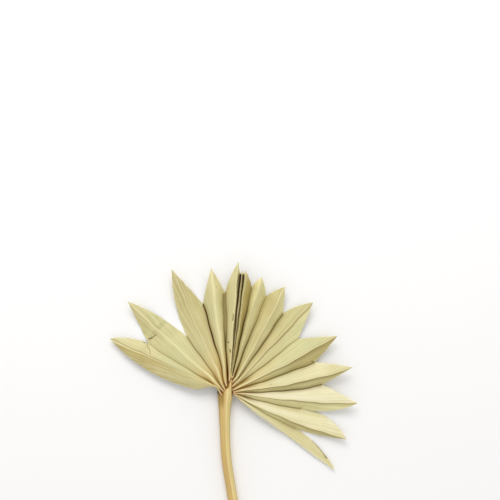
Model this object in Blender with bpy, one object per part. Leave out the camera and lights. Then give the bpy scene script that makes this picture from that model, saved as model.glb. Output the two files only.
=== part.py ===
"""One dried leaf of a fan palm: a pleated, trimmed blade on its cut stalk, lying face up.

Metres, +Z up. The leaf lies on the plane Z = 0, and +Y runs from the cut end of the stalk to
the middle of the fan. A bearing is in degrees, anticlockwise from +X, round the hub, which is
where the stalk meets the fan. The fan is described from its right-hand side to its left.
"""

import math
from typing import NamedTuple

import bmesh
import bpy

# The hub on the plane, and the height of the sheet there
HUB = (-0.0036, 0.0683)
HUB_HEIGHT = 0.0088

# The sheet stops at this distance from the hub, round the head of the stalk
HUB_RADIUS = 0.0035

# Bearings of the fan's two outer corners at the hub, and how far out its folds are bunched
HUB_CORNERS = (-32.0, 158.5)
BUNCHED_TO = 0.014

# Thickness of the dry blade, and how many times thicker it is along the rib of a fold
SHEET = 0.0008
RIB = 1.5

# Half a pleat pressed flat spans this many degrees, and what it loses in plan it gains in height
HALF_PLEAT = 10.4
LEAST_FOLD = 2.5
STEEPEST = 68.0

# How far a fold bows up halfway between the hub and the shoulder
BOW = 0.0012

# How much flatter a blade's two sides are at its tip than at its shoulder
TIP_FLATTENS = 0.5

# How steeply a rib still runs at its tip, as a multiple of its mean slope from the shoulder
TIP_SLOPE = 1.3


class Segment(NamedTuple):
    """One blade of the fan, folded along its middle rib with the rib uppermost.

    The sweep is how many degrees the rib's bearing turns from the tip back to the hub.
    """

    bearing: float
    reach: float
    tip_height: float
    fold: float
    sweep: float
    right_bulge: float
    left_bulge: float


class Cleft(NamedTuple):
    """A valley between two blades, and the notch where they part, with a sweep like a rib's."""

    bearing: float
    reach: float
    floor: float
    sweep: float


SEGMENTS = (
    Segment(-36.8, 0.1064, 0.0020, 0.35, 0.0, 0.02, 0.13),
    Segment(-22.3, 0.1021, 0.0060, 1.00, -7.7, 0.07, 0.25),
    Segment(-5.5, 0.1033, 0.0085, 1.00, -5.5, 0.18, 0.02),
    Segment(11.0, 0.1009, 0.0110, 1.00, -8.0, 0.00, 0.03),
    Segment(27.0, 0.0974, 0.0100, 1.00, -5.5, 0.02, 0.00),
    Segment(46.5, 0.0978, 0.0075, 1.00, -1.5, 0.00, 0.11),
    Segment(61.6, 0.0948, 0.0090, 1.00, -3.0, 0.00, 0.10),
    Segment(73.9, 0.0952, 0.0120, 1.00, -3.5, 0.08, 0.10),
    Segment(82.2, 0.0973, 0.0130, 1.00, -5.3, 0.08, 0.02),
    Segment(83.8, 0.0973, 0.0145, 1.00, -0.8, 0.00, 0.00),
    Segment(85.7, 0.1038, 0.0120, 1.00, 0.0, 0.00, 0.08),
    Segment(98.2, 0.0994, 0.0095, 1.00, 3.3, 0.05, 0.02),
    Segment(115.0, 0.1077, 0.0080, 0.85, 5.0, 0.00, 0.11),
    Segment(138.6, 0.1085, 0.0070, 0.60, 2.7, 0.08, 0.01),
    Segment(156.5, 0.1044, 0.0040, 0.40, 1.7, 0.14, 0.17),
)

# The first and the last are the outer margins of the fan
CLEFTS = (
    Cleft(-38.8, 0.0560, 0.0012, 0.0),
    Cleft(-30.4, 0.0624, 0.0004, -2.2),
    Cleft(-14.1, 0.0600, 0.0006, -6.7),
    Cleft(3.3, 0.0750, 0.0016, -9.3),
    Cleft(18.2, 0.0728, 0.0018, -3.0),
    Cleft(37.0, 0.0695, 0.0014, 0.0),
    Cleft(55.0, 0.0754, 0.0004, 0.0),
    Cleft(68.6, 0.0810, 0.0012, 0.0),
    Cleft(77.3, 0.0848, 0.0018, -3.5),
    Cleft(82.6, 0.0900, 0.0115, -1.5),
    Cleft(84.6, 0.0900, 0.0115, 0.0),
    Cleft(92.5, 0.0784, 0.0006, 2.5),
    Cleft(106.9, 0.0725, 0.0006, 0.0),
    Cleft(128.2, 0.0550, 0.0004, 4.5),
    Cleft(150.2, 0.0750, 0.0012, 4.2),
    Cleft(177.3, 0.0260, 0.0072, 0.0),
)

# The left margin keeps close to its rib up to this distance, and then opens out to its notch
LEFT_MARGIN_OPENS = 0.0110

# Rows of the sheet from the hub to the notches and on to the tips, and its columns across half
# a blade, from the rib at 0 to the edge at 1
BODY_ROWS = 10
TIP_ROWS = 6
ROW_CROWDING = 1.2
COLUMNS = (0.0, 0.13, 0.56, 1.0)


class Station(NamedTuple):
    """A cross-section of the stalk: its place from the hub, its sides and its height."""

    y: float
    left: float
    right: float
    bottom: float
    top: float


STATIONS = (
    Station(0.0031, -0.0007, 0.0008, 0.0066, 0.0092),
    Station(0.0024, -0.0020, 0.0020, 0.0050, 0.0101),
    Station(0.0008, -0.0030, 0.0030, 0.0036, 0.0108),
    Station(-0.0010, -0.0046, 0.0029, 0.0030, 0.0106),
    Station(-0.0030, -0.0080, 0.0026, 0.0028, 0.0102),
    Station(-0.0075, -0.0088, 0.0023, 0.0026, 0.0100),
    Station(-0.0310, -0.0074, 0.0007, 0.0022, 0.0093),
    Station(-0.0550, -0.0060, 0.0020, 0.0016, 0.0086),
    Station(-0.0790, -0.0024, 0.0056, 0.0010, 0.0079),
    Station(-0.1150, 0.0036, 0.0116, 0.0003, 0.0071),
    Station(-0.1500, 0.0095, 0.0175, 0.0000, 0.0068),
    Station(-0.1950, 0.0168, 0.0250, 0.0000, 0.0068),
    Station(-0.2400, 0.0242, 0.0330, 0.0000, 0.0072),
)
STEPS_BETWEEN_STATIONS = 3

# The stalk's section: across from -1 to 1, and up from 0 to 1, with a flat strip underneath and
# its crest to the right of the middle
SECTION = (
    (0.36, 0.00),
    (0.78, 0.13),
    (0.98, 0.40),
    (0.95, 0.62),
    (0.70, 0.86),
    (0.30, 1.00),
    (0.08, 0.99),
    (-0.32, 0.92),
    (-0.74, 0.76),
    (-0.98, 0.50),
    (-0.97, 0.33),
    (-0.75, 0.10),
    (-0.36, 0.00),
)

BLADE_COLOUR = (214, 205, 156)
STALK_COLOUR = (208, 182, 120)


def clear_scene():
    """Remove every object, so that the leaf is alone."""
    for item in list(bpy.data.objects):
        bpy.data.objects.remove(item, do_unlink=True)


def smoothstep(value):
    """Ease from 0 to 1."""
    value = min(max(value, 0.0), 1.0)
    return value * value * (3.0 - 2.0 * value)


def mix(start, end, share):
    """The value a share of the way from start to end."""
    return start + (end - start) * share


def curve(start, start_slope, end, end_slope, share):
    """The value a share of the way along a smooth curve with given ends and end slopes."""
    square = share * share
    cube = square * share
    return (
        (2 * cube - 3 * square + 1) * start
        + (cube - 2 * square + share) * start_slope
        + (3 * square - 2 * cube) * end
        + (cube - square) * end_slope
    )


def place(bearing, distance):
    """The point at a bearing and a distance from the hub."""
    angle = math.radians(bearing)
    return (HUB[0] + distance * math.cos(angle), HUB[1] + distance * math.sin(angle))


def gap(first, second):
    """The distance between two points in plan."""
    return math.hypot(first[0] - second[0], first[1] - second[1])


def bunched(bearing, order, distance):
    """A fold's bearing, spread evenly round the hub at first and true from BUNCHED_TO on."""
    folds = 2 * len(SEGMENTS)
    even = mix(HUB_CORNERS[0], HUB_CORNERS[1], order / folds)
    share = smoothstep((distance - HUB_RADIUS) / (BUNCHED_TO - HUB_RADIUS))
    return mix(0.5 * (bearing + even), bearing, share)


def rib_point(index, distance):
    """A point of a blade's rib in plan. A swept rib curves on its way to the tip."""
    segment = SEGMENTS[index]
    bearing = segment.bearing + segment.sweep * (1.0 - distance / segment.reach)
    return place(bunched(bearing, 2 * index + 1, distance), distance)


def cleft_point(index, distance):
    """A point of a valley in plan. The last one is the left margin, which opens out late."""
    cleft = CLEFTS[index]
    if index < len(CLEFTS) - 1:
        bearing = cleft.bearing + cleft.sweep * (1.0 - distance / cleft.reach)
        return place(bunched(bearing, 2 * index, distance), distance)
    share = smoothstep((distance - LEFT_MARGIN_OPENS) / (cleft.reach - LEFT_MARGIN_OPENS))
    return place(mix(HUB_CORNERS[1], cleft.bearing, share), distance)


def shoulder(index):
    """How far up the rib a blade leaves its neighbours."""
    return 0.5 * (CLEFTS[index].reach + CLEFTS[index + 1].reach)


def drop(index, side):
    """Height from the rib to the valley at one side, from the width that a half-pleat keeps."""
    cleft = CLEFTS[index + side]
    distance = shoulder(index)
    rib = SEGMENTS[index].bearing
    rib += SEGMENTS[index].sweep * (1.0 - distance / SEGMENTS[index].reach)
    half = abs(cleft.bearing - rib)
    rise = math.sqrt(max(HALF_PLEAT**2 - half**2, LEAST_FOLD**2))
    rise = min(rise, half * math.tan(math.radians(STEEPEST)))
    return distance * math.radians(rise)


def crest(index):
    """Height of a blade's rib at its shoulder."""
    floor = 0.5 * (CLEFTS[index].floor + CLEFTS[index + 1].floor)
    return floor + 0.5 * SEGMENTS[index].fold * (drop(index, 0) + drop(index, 1))


def fold_height(end, share):
    """Height of a rib or a valley between the hub and its shoulder or notch."""
    return mix(HUB_HEIGHT, end, share) + BOW * math.sin(math.pi * share)


def tip_height(index, share):
    """Height of a rib between its shoulder and its tip, with no kink at the shoulder."""
    segment = SEGMENTS[index]
    start = crest(index)
    run = (segment.reach - shoulder(index)) / (shoulder(index) - HUB_RADIUS)
    start_slope = (start - HUB_HEIGHT - BOW * math.pi) * run
    end_slope = TIP_SLOPE * (segment.tip_height - start)
    return curve(start, start_slope, segment.tip_height, end_slope, share)


def margin_point(index, side, share):
    """A point of the cut edge in plan, on a curve from the notch to the tip."""
    cleft = index + side
    notch = cleft_point(cleft, CLEFTS[cleft].reach)
    tip = rib_point(index, SEGMENTS[index].reach)
    bulge = SEGMENTS[index].left_bulge if side else SEGMENTS[index].right_bulge
    turn = -1.0 if side else 1.0
    control = (
        0.5 * (notch[0] + tip[0]) + turn * bulge * (tip[1] - notch[1]),
        0.5 * (notch[1] + tip[1]) - turn * bulge * (tip[0] - notch[0]),
    )
    return tuple(
        mix(mix(a, b, share), mix(b, c, share), share)
        for a, b, c in zip(notch, control, tip)
    )


class Sheet:
    """The middle surface of the fan: points shared along ribs and valleys, and triangles."""

    def __init__(self):
        self.points = []
        self.ribbed = []
        self.triangles = []
        self.known = {}

    def point(self, key, spot, height, ribbed=False):
        """The number of the point with this key, which is made the first time it is asked for."""
        if key not in self.known:
            self.known[key] = len(self.points)
            self.points.append((spot[0], spot[1], height))
            self.ribbed.append(ribbed)
        return self.known[key]

    def row(self, index, side, row):
        """One row of points across half a blade, from the rib to the valley or the cut edge."""
        if row <= BODY_ROWS:
            share = (row / BODY_ROWS) ** ROW_CROWDING
            cleft = index + side
            rib = rib_point(index, mix(HUB_RADIUS, shoulder(index), share))
            rib_z = fold_height(crest(index), share)
            edge = cleft_point(cleft, mix(HUB_RADIUS, CLEFTS[cleft].reach, share))
            edge_z = fold_height(CLEFTS[cleft].floor, share)
            edge_key = ("cleft", cleft, row)
        else:
            share = (row - BODY_ROWS) / TIP_ROWS
            rib = rib_point(index, mix(shoulder(index), SEGMENTS[index].reach, share))
            rib_z = tip_height(index, share)
            edge = margin_point(index, side, share)
            edge_z = rib_z - self.side_slope(index, side, share) * gap(rib, edge)
            edge_key = ("margin", index, side, row)
        if row == BODY_ROWS + TIP_ROWS:
            return [self.point(("tip", index), rib, rib_z)]
        numbers = []
        for column, across in enumerate(COLUMNS):
            spot = (mix(rib[0], edge[0], across), mix(rib[1], edge[1], across))
            height = mix(rib_z, edge_z, across)
            if column == 0:
                key = ("rib", index, row)
            elif column == len(COLUMNS) - 1:
                key = edge_key
            else:
                key = ("side", index, side, row, column)
            numbers.append(self.point(key, spot, height, ribbed=column == 0))
        return numbers

    @staticmethod
    def side_slope(index, side, share):
        """Fall from the rib to the cut edge for each metre in plan."""
        cleft = index + side
        rib = rib_point(index, shoulder(index))
        notch = cleft_point(cleft, CLEFTS[cleft].reach)
        fall = crest(index) - CLEFTS[cleft].floor
        return fall / gap(rib, notch) * (1.0 - TIP_FLATTENS * share)

    def half_blade(self, index, side):
        """The triangles of half a blade, facing up."""
        rows = [self.row(index, side, row) for row in range(BODY_ROWS + TIP_ROWS + 1)]
        for near, far in zip(rows, rows[1:]):
            for column in range(len(COLUMNS) - 1):
                here, beside = near[column], near[column + 1]
                if len(far) == 1:
                    faces = [(here, far[0], beside)]
                else:
                    faces = [
                        (here, far[column], beside),
                        (far[column], far[column + 1], beside),
                    ]
                for face in faces:
                    self.triangles.append(face if side else face[::-1])

    def thickness(self):
        """Upright thickness at each point, so that steep sides keep the sheet's own thickness."""
        upright = [SHEET] * len(self.points)
        for face in self.triangles:
            a, b, c = (self.points[number] for number in face)
            across = [b[k] - a[k] for k in range(3)]
            along = [c[k] - a[k] for k in range(3)]
            normal = (
                across[1] * along[2] - across[2] * along[1],
                across[2] * along[0] - across[0] * along[2],
                across[0] * along[1] - across[1] * along[0],
            )
            lean = math.sqrt(sum(part * part for part in normal)) / abs(normal[2])
            limit = 1.0 / math.cos(math.radians(STEEPEST))
            for number in face:
                upright[number] = max(upright[number], SHEET * min(lean, limit))
        return [value * (RIB if rib else 1.0) for value, rib in zip(upright, self.ribbed)]

    def edges(self):
        """The edges that belong to one triangle only, in that triangle's direction."""
        seen = {}
        for face in self.triangles:
            for start, end in zip(face, face[1:] + face[:1]):
                seen[(start, end)] = (end, start)
        return [edge for edge, twin in seen.items() if twin not in seen]


def solid_from_sheet(sheet):
    """Give the sheet its thickness: a face above, the same face below, and a wall round both."""
    bm = bmesh.new()
    above = []
    below = []
    for (x, y, z), thick in zip(sheet.points, sheet.thickness()):
        z = max(z, 0.5 * thick)
        above.append(bm.verts.new((x, y, z + 0.5 * thick)))
        below.append(bm.verts.new((x, y, z - 0.5 * thick)))
    for face in sheet.triangles:
        bm.faces.new([above[number] for number in face])
        bm.faces.new([below[number] for number in reversed(face)])
    for start, end in sheet.edges():
        bm.faces.new((above[start], below[start], below[end]))
        bm.faces.new((above[start], below[end], above[end]))
    return bm


def between(stations, step, share):
    """A station on the smooth curve through the listed ones, a share of the way past a step."""
    last = len(stations) - 1
    before, start, end, after = (
        stations[min(max(step + offset, 0), last)] for offset in (-1, 0, 1, 2)
    )
    values = []
    for number, (p, q, r, s) in enumerate(zip(before, start, end, after)):
        span = end.y - start.y
        if number == 0:
            values.append(mix(q, r, share))
            continue
        slope_in = (r - p) / (end.y - before.y) * span
        slope_out = (s - q) / (after.y - start.y) * span
        values.append(curve(q, slope_in, r, slope_out, share))
    return Station(*values)


def stalk_stations():
    """Every cross-section of the stalk, from its head to its cut end."""
    stations = []
    for step in range(len(STATIONS) - 1):
        for part in range(STEPS_BETWEEN_STATIONS):
            stations.append(between(STATIONS, step, part / STEPS_BETWEEN_STATIONS))
    stations.append(STATIONS[-1])
    return stations


def stalk_ring(bm, station):
    """The points of one cross-section of the stalk."""
    centre = 0.5 * (station.left + station.right)
    half = 0.5 * (station.right - station.left)
    bottom = max(station.bottom, 0.0)
    ring = []
    for across, up in SECTION:
        x = HUB[0] + centre + half * across
        z = mix(bottom, station.top, up)
        ring.append(bm.verts.new((x, HUB[1] + station.y, z)))
    return ring


def solid_stalk():
    """The stalk, lofted through its cross-sections and closed at both ends."""
    bm = bmesh.new()
    rings = [stalk_ring(bm, station) for station in stalk_stations()]
    for near, far in zip(rings, rings[1:]):
        for number, corner in enumerate(near):
            following = (number + 1) % len(near)
            bm.faces.new((corner, far[number], far[following], near[following]))
    bm.faces.new(rings[0])
    bm.faces.new(rings[-1][::-1])
    bmesh.ops.recalc_face_normals(bm, faces=bm.faces)
    return bm


def linear(level):
    """A colour level from 0 to 255 as linear light."""
    level /= 255.0
    return level / 12.92 if level <= 0.04045 else ((level + 0.055) / 1.055) ** 2.4


def make_material(name, colour, roughness):
    """A plain matt finish for one piece."""
    material = bpy.data.materials.new(name)
    material.use_nodes = True
    shader = material.node_tree.nodes["Principled BSDF"]
    shader.inputs["Base Color"].default_value = (*(linear(level) for level in colour), 1.0)
    shader.inputs["Roughness"].default_value = roughness
    shader.inputs["Metallic"].default_value = 0.0
    return material


def make_piece(name, bm, material, crease):
    """Put a finished mesh in the scene, smooth but for its sharp creases."""
    mesh = bpy.data.meshes.new(name)
    bmesh.ops.triangulate(bm, faces=[face for face in bm.faces if len(face.verts) > 3])
    bm.to_mesh(mesh)
    bm.free()
    mesh.shade_smooth()
    mesh.set_sharp_from_angle(angle=math.radians(crease))
    mesh.materials.append(material)
    piece = bpy.data.objects.new(name, mesh)
    bpy.context.scene.collection.objects.link(piece)
    return piece


def make_blade():
    """The pleated fan, one piece from margin to margin."""
    sheet = Sheet()
    for index in range(len(SEGMENTS)):
        for side in (0, 1):
            sheet.half_blade(index, side)
    material = make_material("dry_blade", BLADE_COLOUR, 0.6)
    return make_piece("leaf_blade", solid_from_sheet(sheet), material, 20.0)


def make_stalk():
    """The stalk with the pointed head that the blades spread from."""
    material = make_material("dry_stalk", STALK_COLOUR, 0.5)
    return make_piece("leaf_stalk", solid_stalk(), material, 35.0)


def main():
    """Build the leaf."""
    clear_scene()
    make_blade()
    make_stalk()


main()
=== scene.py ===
"""Looks of one dried fan palm leaf: the veined, pleated fan, its ribs at the hub and its stalk.

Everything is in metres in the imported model's own frame: the leaf lies face up on the plane
Z = 0, and +Y runs along it from the cut end of the stalk to the middle of the fan. A bearing is
in degrees, anticlockwise from +X, round the hub, which is where the stalk meets the fan. Blades
are listed from the right-hand side of the fan to its left.
"""

import logging
import math
from dataclasses import dataclass
from enum import Enum, IntEnum
from typing import ClassVar, Iterable, Optional, Sequence, Union

import bpy
import numpy as np
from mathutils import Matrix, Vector

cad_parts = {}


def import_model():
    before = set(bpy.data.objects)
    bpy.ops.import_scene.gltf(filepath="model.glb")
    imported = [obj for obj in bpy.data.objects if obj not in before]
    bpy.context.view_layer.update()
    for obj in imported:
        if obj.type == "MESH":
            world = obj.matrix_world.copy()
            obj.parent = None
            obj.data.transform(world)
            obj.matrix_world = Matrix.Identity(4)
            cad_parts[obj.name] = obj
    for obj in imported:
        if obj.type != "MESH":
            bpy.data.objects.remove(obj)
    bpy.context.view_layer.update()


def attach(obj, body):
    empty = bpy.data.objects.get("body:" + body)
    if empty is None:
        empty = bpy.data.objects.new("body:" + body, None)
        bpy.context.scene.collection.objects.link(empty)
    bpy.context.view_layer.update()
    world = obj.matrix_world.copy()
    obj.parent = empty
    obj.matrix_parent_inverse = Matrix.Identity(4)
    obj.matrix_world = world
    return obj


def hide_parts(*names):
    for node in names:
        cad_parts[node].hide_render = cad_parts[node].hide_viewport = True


LOG = logging.getLogger("fan_palm_leaf")

# The hub on the plane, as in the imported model, the sheet's height there, and how far from the
# hub the sheet begins
HUB = np.array([-0.0036, 0.0683])
HUB_HEIGHT = 0.0088
HUB_RADIUS = 0.0035

MM = 0.001

Socket = bpy.types.NodeSocket
Number = Union[float, Socket]
Colour = tuple[float, float, float]
Point = tuple[float, float]
Values = Union[float, np.ndarray]
Layer = tuple[Socket, float, float, float, Union[Socket, Colour]]


def srgb(red: int, green: int, blue: int) -> Colour:
    """Turn a colour given in screen levels into linear light.

    Args:
        red: Level from 0 to 255.
        green: Level from 0 to 255.
        blue: Level from 0 to 255.

    Returns:
        The three linear levels, from 0 to 1.
    """
    levels = [level / 255.0 for level in (red, green, blue)]
    light = [v / 12.92 if v <= 0.04045 else ((v + 0.055) / 1.055) ** 2.4 for v in levels]
    return (light[0], light[1], light[2])


def smoothstep(value: np.ndarray) -> np.ndarray:
    """Ease from 0 to 1."""
    value = np.clip(value, 0.0, 1.0)
    return value * value * (3.0 - 2.0 * value)


def curve(
    start: Values, start_slope: Values, end: Values, end_slope: Values, share: Values
) -> np.ndarray:
    """Run along a smooth curve with given ends and end slopes.

    Args:
        start: Value at share 0.
        start_slope: Slope at share 0.
        end: Value at share 1.
        end_slope: Slope at share 1.
        share: How far along the curve, from 0 to 1.

    Returns:
        The curve's values.
    """
    square = share * share
    cube = square * share
    return (
        (2 * cube - 3 * square + 1) * start
        + (cube - 2 * square + share) * start_slope
        + (3 * square - 2 * cube) * end
        + (cube - square) * end_slope
    )


class Tone(Enum):
    """How pale one side of a blade has dried, from olive tan at -1 to cream at 1."""

    CREAM = 0.95
    PALE = 0.6
    LIGHT = 0.25
    STRAW = 0.0
    DULL = -0.25
    TAN = -0.5
    OLIVE = -0.9


class Side(IntEnum):
    """The two halves of a blade, as one looks at the leaf with its stalk down."""

    RIGHT = 0
    LEFT = 1


class Domain(Enum):
    """What each number that a mesh keeps belongs to."""

    POINT = "POINT"
    FACE = "FACE"


@dataclass(frozen=True)
class Blade:
    """One blade of the fan, folded along its middle rib with the rib uppermost.

    Bearing and reach place its tip, fold is how deep it is folded against an even pleat, and the
    sweep is how many degrees the rib turns from the tip back to the hub. Base is where the rib
    starts on the head of the stalk, in millimetres from the hub. Bulges round the cut edges
    outwards, bows arch the two sides upwards in millimetres, and tones colour them, each for the
    right side first. Rib line is how dark the painted shade line beside the rib is, on the right
    if above 0 and on the left if below. Pale is how far the rib pales, partly its own colour and
    partly a painted highlight, warm how honey-coloured the blade is near the hub, and grey how
    far its inner half is tinted grey. Fades shift the tones of the two sides towards the tip.
    """

    bearing: float
    reach: float
    tip_height: float
    fold: float
    sweep: float
    bulges: tuple[float, float]
    base: Point
    tones: tuple[Tone, Tone]
    bows: tuple[float, float] = (0.0, 0.0)
    rib_shade_line: float = 0.0
    pale: float = 0.4
    warm: float = 1.0
    grey: float = 0.0
    fades: tuple[float, float] = (0.0, 0.0)


@dataclass(frozen=True)
class Cleft:
    """A valley between two blades, and the notch where they part.

    Reach is how far from the hub the notch is, and floor the valley's height there. Inks are how
    dark its painted shade line is near the hub, halfway and at the notch. A valley with a band has
    a strip of painted shade that far to both sides, and its line lies along the strip's edges.
    """

    bearing: float
    reach: float
    floor: float
    sweep: float
    fold_shades: tuple[float, float, float]
    shade_band: float = 0.0


BLADES: tuple[Blade, ...] = (
    Blade(
        -36.8, 0.1064, 0.0020, 0.35, 0.0, (0.02, 0.13), (3.5, -2.0),
        (Tone.CREAM, Tone.STRAW), (0.0, 0.4), 0.1, 0.3, 0.1, fades=(0.3, 0.2),
    ),
    Blade(
        -22.3, 0.1021, 0.0060, 1.00, -7.7, (0.07, 0.25), (3.5, -1.6),
        (Tone.PALE, Tone.PALE), (0.4, 0.6), 0.6, 0.4, 0.1, fades=(-0.9, -0.1),
    ),
    Blade(
        -5.5, 0.1033, 0.0085, 1.00, -5.5, (0.18, 0.02), (3.4, -1.1),
        (Tone.PALE, Tone.CREAM), (0.3, 0.8), 0.7, 0.5, 0.3, fades=(0.0, -0.25),
    ),
    Blade(
        11.0, 0.1009, 0.0110, 1.00, -8.0, (0.00, 0.03), (3.2, -0.5),
        (Tone.STRAW, Tone.LIGHT), (0.2, 0.5), 0.8, 0.5, 0.5, fades=(0.0, 0.15),
    ),
    Blade(
        27.2, 0.0974, 0.0100, 1.00, -4.8, (0.02, 0.00), (2.6, 0.6),
        (Tone.TAN, Tone.STRAW), (0.2, 0.7), 0.8, 0.5, 0.6, fades=(-0.35, 0.0),
    ),
    Blade(
        46.5, 0.0978, 0.0075, 1.00, -0.3, (0.00, 0.11), (2.0, 3.1),
        (Tone.PALE, Tone.DULL), (0.3, 0.2), 0.8, 0.5, 0.5, fades=(0.0, -0.2),
    ),
    Blade(
        61.6, 0.0948, 0.0090, 1.00, -3.0, (0.00, 0.10), (2.2, 6.4),
        (Tone.PALE, Tone.DULL), (0.5, 0.3), 0.3, 0.5, 0.5, fades=(0.0, -0.2),
    ),
    Blade(
        73.9, 0.0952, 0.0120, 1.00, 0.5, (0.08, 0.10), (2.6, 9.9),
        (Tone.PALE, Tone.CREAM), (0.5, 0.4), 0.2, 0.7, 0.7,
    ),
    # Its olive right side is painted shade on that steep face
    Blade(
        82.2, 0.0973, 0.0130, 1.00, -1.8, (0.08, 0.02), (2.2, 10.5),
        (Tone.OLIVE, Tone.CREAM), (0.4, 0.0), 0.0, 0.6, 0.4,
    ),
    Blade(
        83.6, 0.0973, 0.0145, 1.00, -0.5, (0.00, 0.00), (1.4, 9.5),
        (Tone.CREAM, Tone.CREAM), (0.0, 0.0), 0.0, 0.5, 0.5, grey=0.6,
    ),
    Blade(
        85.7, 0.1038, 0.0120, 1.00, 0.0, (0.00, 0.08), (0.2, 8.0),
        (Tone.STRAW, Tone.STRAW), (0.0, 0.9),
    ),
    Blade(
        98.2, 0.0994, 0.0095, 1.00, 3.3, (0.05, 0.02), (-1.7, 3.9),
        (Tone.DULL, Tone.STRAW), (1.5, 0.8), 0.0, 0.6, 1.0, fades=(0.25, 0.0),
    ),
    Blade(
        115.0, 0.1077, 0.0080, 0.85, 5.0, (0.00, 0.11), (-3.0, 1.1),
        (Tone.TAN, Tone.DULL), (0.9, 0.2), -0.3, 0.5, 0.9, fades=(-0.15, -0.15),
    ),
    Blade(
        138.6, 0.1085, 0.0070, 0.60, 3.8, (0.08, 0.01), (-3.9, -0.1),
        (Tone.DULL, Tone.DULL), (0.8, 0.3), 0.0, 0.55, 0.8, fades=(0.0, -0.15),
    ),
    Blade(
        156.5, 0.1044, 0.0040, 0.40, 1.7, (0.14, 0.17), (-5.0, -3.2),
        (Tone.STRAW, Tone.DULL), (0.4, 1.2), 0.8, 1.0, 0.4, fades=(0.0, -0.7),
    ),
)

# The first and the last are the outer margins of the fan
CLEFTS: tuple[Cleft, ...] = (
    Cleft(-38.8, 0.0560, 0.0012, -2.5, (0.1, 0.0, 0.0)),
    Cleft(-30.4, 0.0624, 0.0004, -2.2, (0.2, 0.25, 0.3)),
    Cleft(-14.1, 0.0600, 0.0006, -6.7, (0.6, 0.5, 0.4)),
    Cleft(3.3, 0.0750, 0.0016, -8.3, (0.6, 0.7, 0.6)),
    Cleft(18.2, 0.0728, 0.0018, -3.8, (0.7, 0.7, 0.6)),
    Cleft(36.8, 0.0695, 0.0014, -1.4, (0.6, 0.5, 0.2)),
    Cleft(54.8, 0.0754, 0.0004, -0.8, (0.5, 0.7, 0.6)),
    Cleft(68.6, 0.0810, 0.0012, 1.2, (0.85, 0.55, 0.1)),
    Cleft(77.5, 0.0848, 0.0018, 0.0, (0.7, 0.75, 0.12)),
    Cleft(82.7, 0.0940, 0.0072, -0.4, (0.1, 0.3, 0.92)),
    Cleft(84.6, 0.0940, 0.0072, 0.0, (0.4, 0.8, 1.0)),
    Cleft(92.5, 0.0784, 0.0006, 2.5, (1.0, 0.55, 0.45), 0.0014),
    Cleft(106.9, 0.0725, 0.0006, 0.0, (0.6, 0.93, 0.86)),
    Cleft(128.2, 0.0550, 0.0004, 4.5, (0.5, 0.6, 0.5)),
    Cleft(150.2, 0.0750, 0.0012, 4.2, (0.7, 0.5, 0.3)),
    Cleft(177.3, 0.0260, 0.0072, 0.0, (0.1, 0.1, 0.1)),
)


@dataclass(frozen=True)
class DarkLine:
    """A torn or bruised line on the dry sheet, and in one place a painted shadow along an edge,
    through places given in metres.

    Width is how far it reaches to each side, and strength how dark it is.
    """

    places: tuple[Point, ...]
    width: float
    strength: float


# Where the two lowest blades on the left buckled and split as they dried, small bruises, and a
# painted shadow line along the upper edge of the lowest blade on the right
CRACKS_AND_SHADOW: tuple[DarkLine, ...] = (
    DarkLine(((-0.0678, 0.1096), (-0.0660, 0.1101)), 0.00100, 0.75),
    DarkLine(((-0.0660, 0.1101), (-0.0643, 0.1112), (-0.0624, 0.1130)), 0.00065, 0.6),
    DarkLine(((-0.0729, 0.1078), (-0.0712, 0.1066)), 0.00095, 0.8),
    DarkLine(
        ((-0.0697, 0.1063), (-0.0688, 0.1027), (-0.0672, 0.1003), (-0.0668, 0.0979)),
        0.00055,
        0.45,
    ),
    DarkLine(((-0.0041, 0.1076), (-0.0040, 0.1073)), 0.00105, 0.75),
    DarkLine(((-0.0027, 0.1014), (-0.0024, 0.0999)), 0.00085, 0.8),
    DarkLine(((0.0000, 0.1299), (-0.0005, 0.1252)), 0.00080, 0.6),
    DarkLine(((0.0628, 0.0917), (0.0634, 0.0915)), 0.00080, 0.8),
    # A painted shadow line along the upper edge of the lowest blade on the right, where it falls away
    DarkLine(
        ((0.0636, 0.0277), (0.0659, 0.0253), (0.0696, 0.0213), (0.0726, 0.0173), (0.0748, 0.0139)),
        0.00110,
        0.7,
    ),
)


@dataclass(frozen=True)
class Ripple:
    """A smooth, seeded unevenness: a few plane waves of random length, direction and phase.

    Shortest and longest are the limits of their lengths in metres.
    """

    seed: int
    height: float
    shortest: float
    longest: float
    waves: int = 7

    def at(self, x: np.ndarray, y: np.ndarray) -> np.ndarray:
        """Read the unevenness.

        Args:
            x: Places along X in metres.
            y: Places along Y in metres.

        Returns:
            The unevenness there, about as large as height at most.
        """
        draw = np.random.default_rng(self.seed)
        total = np.zeros(np.broadcast(x, y).shape)
        for _ in range(self.waves):
            length = draw.uniform(self.shortest, self.longest)
            angle = draw.uniform(0.0, 2.0 * math.pi)
            phase = draw.uniform(0.0, 2.0 * math.pi)
            turn = 2.0 * math.pi / length
            total += np.sin(turn * (math.cos(angle) * x + math.sin(angle) * y) + phase)
        return self.height * total / math.sqrt(self.waves)


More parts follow.
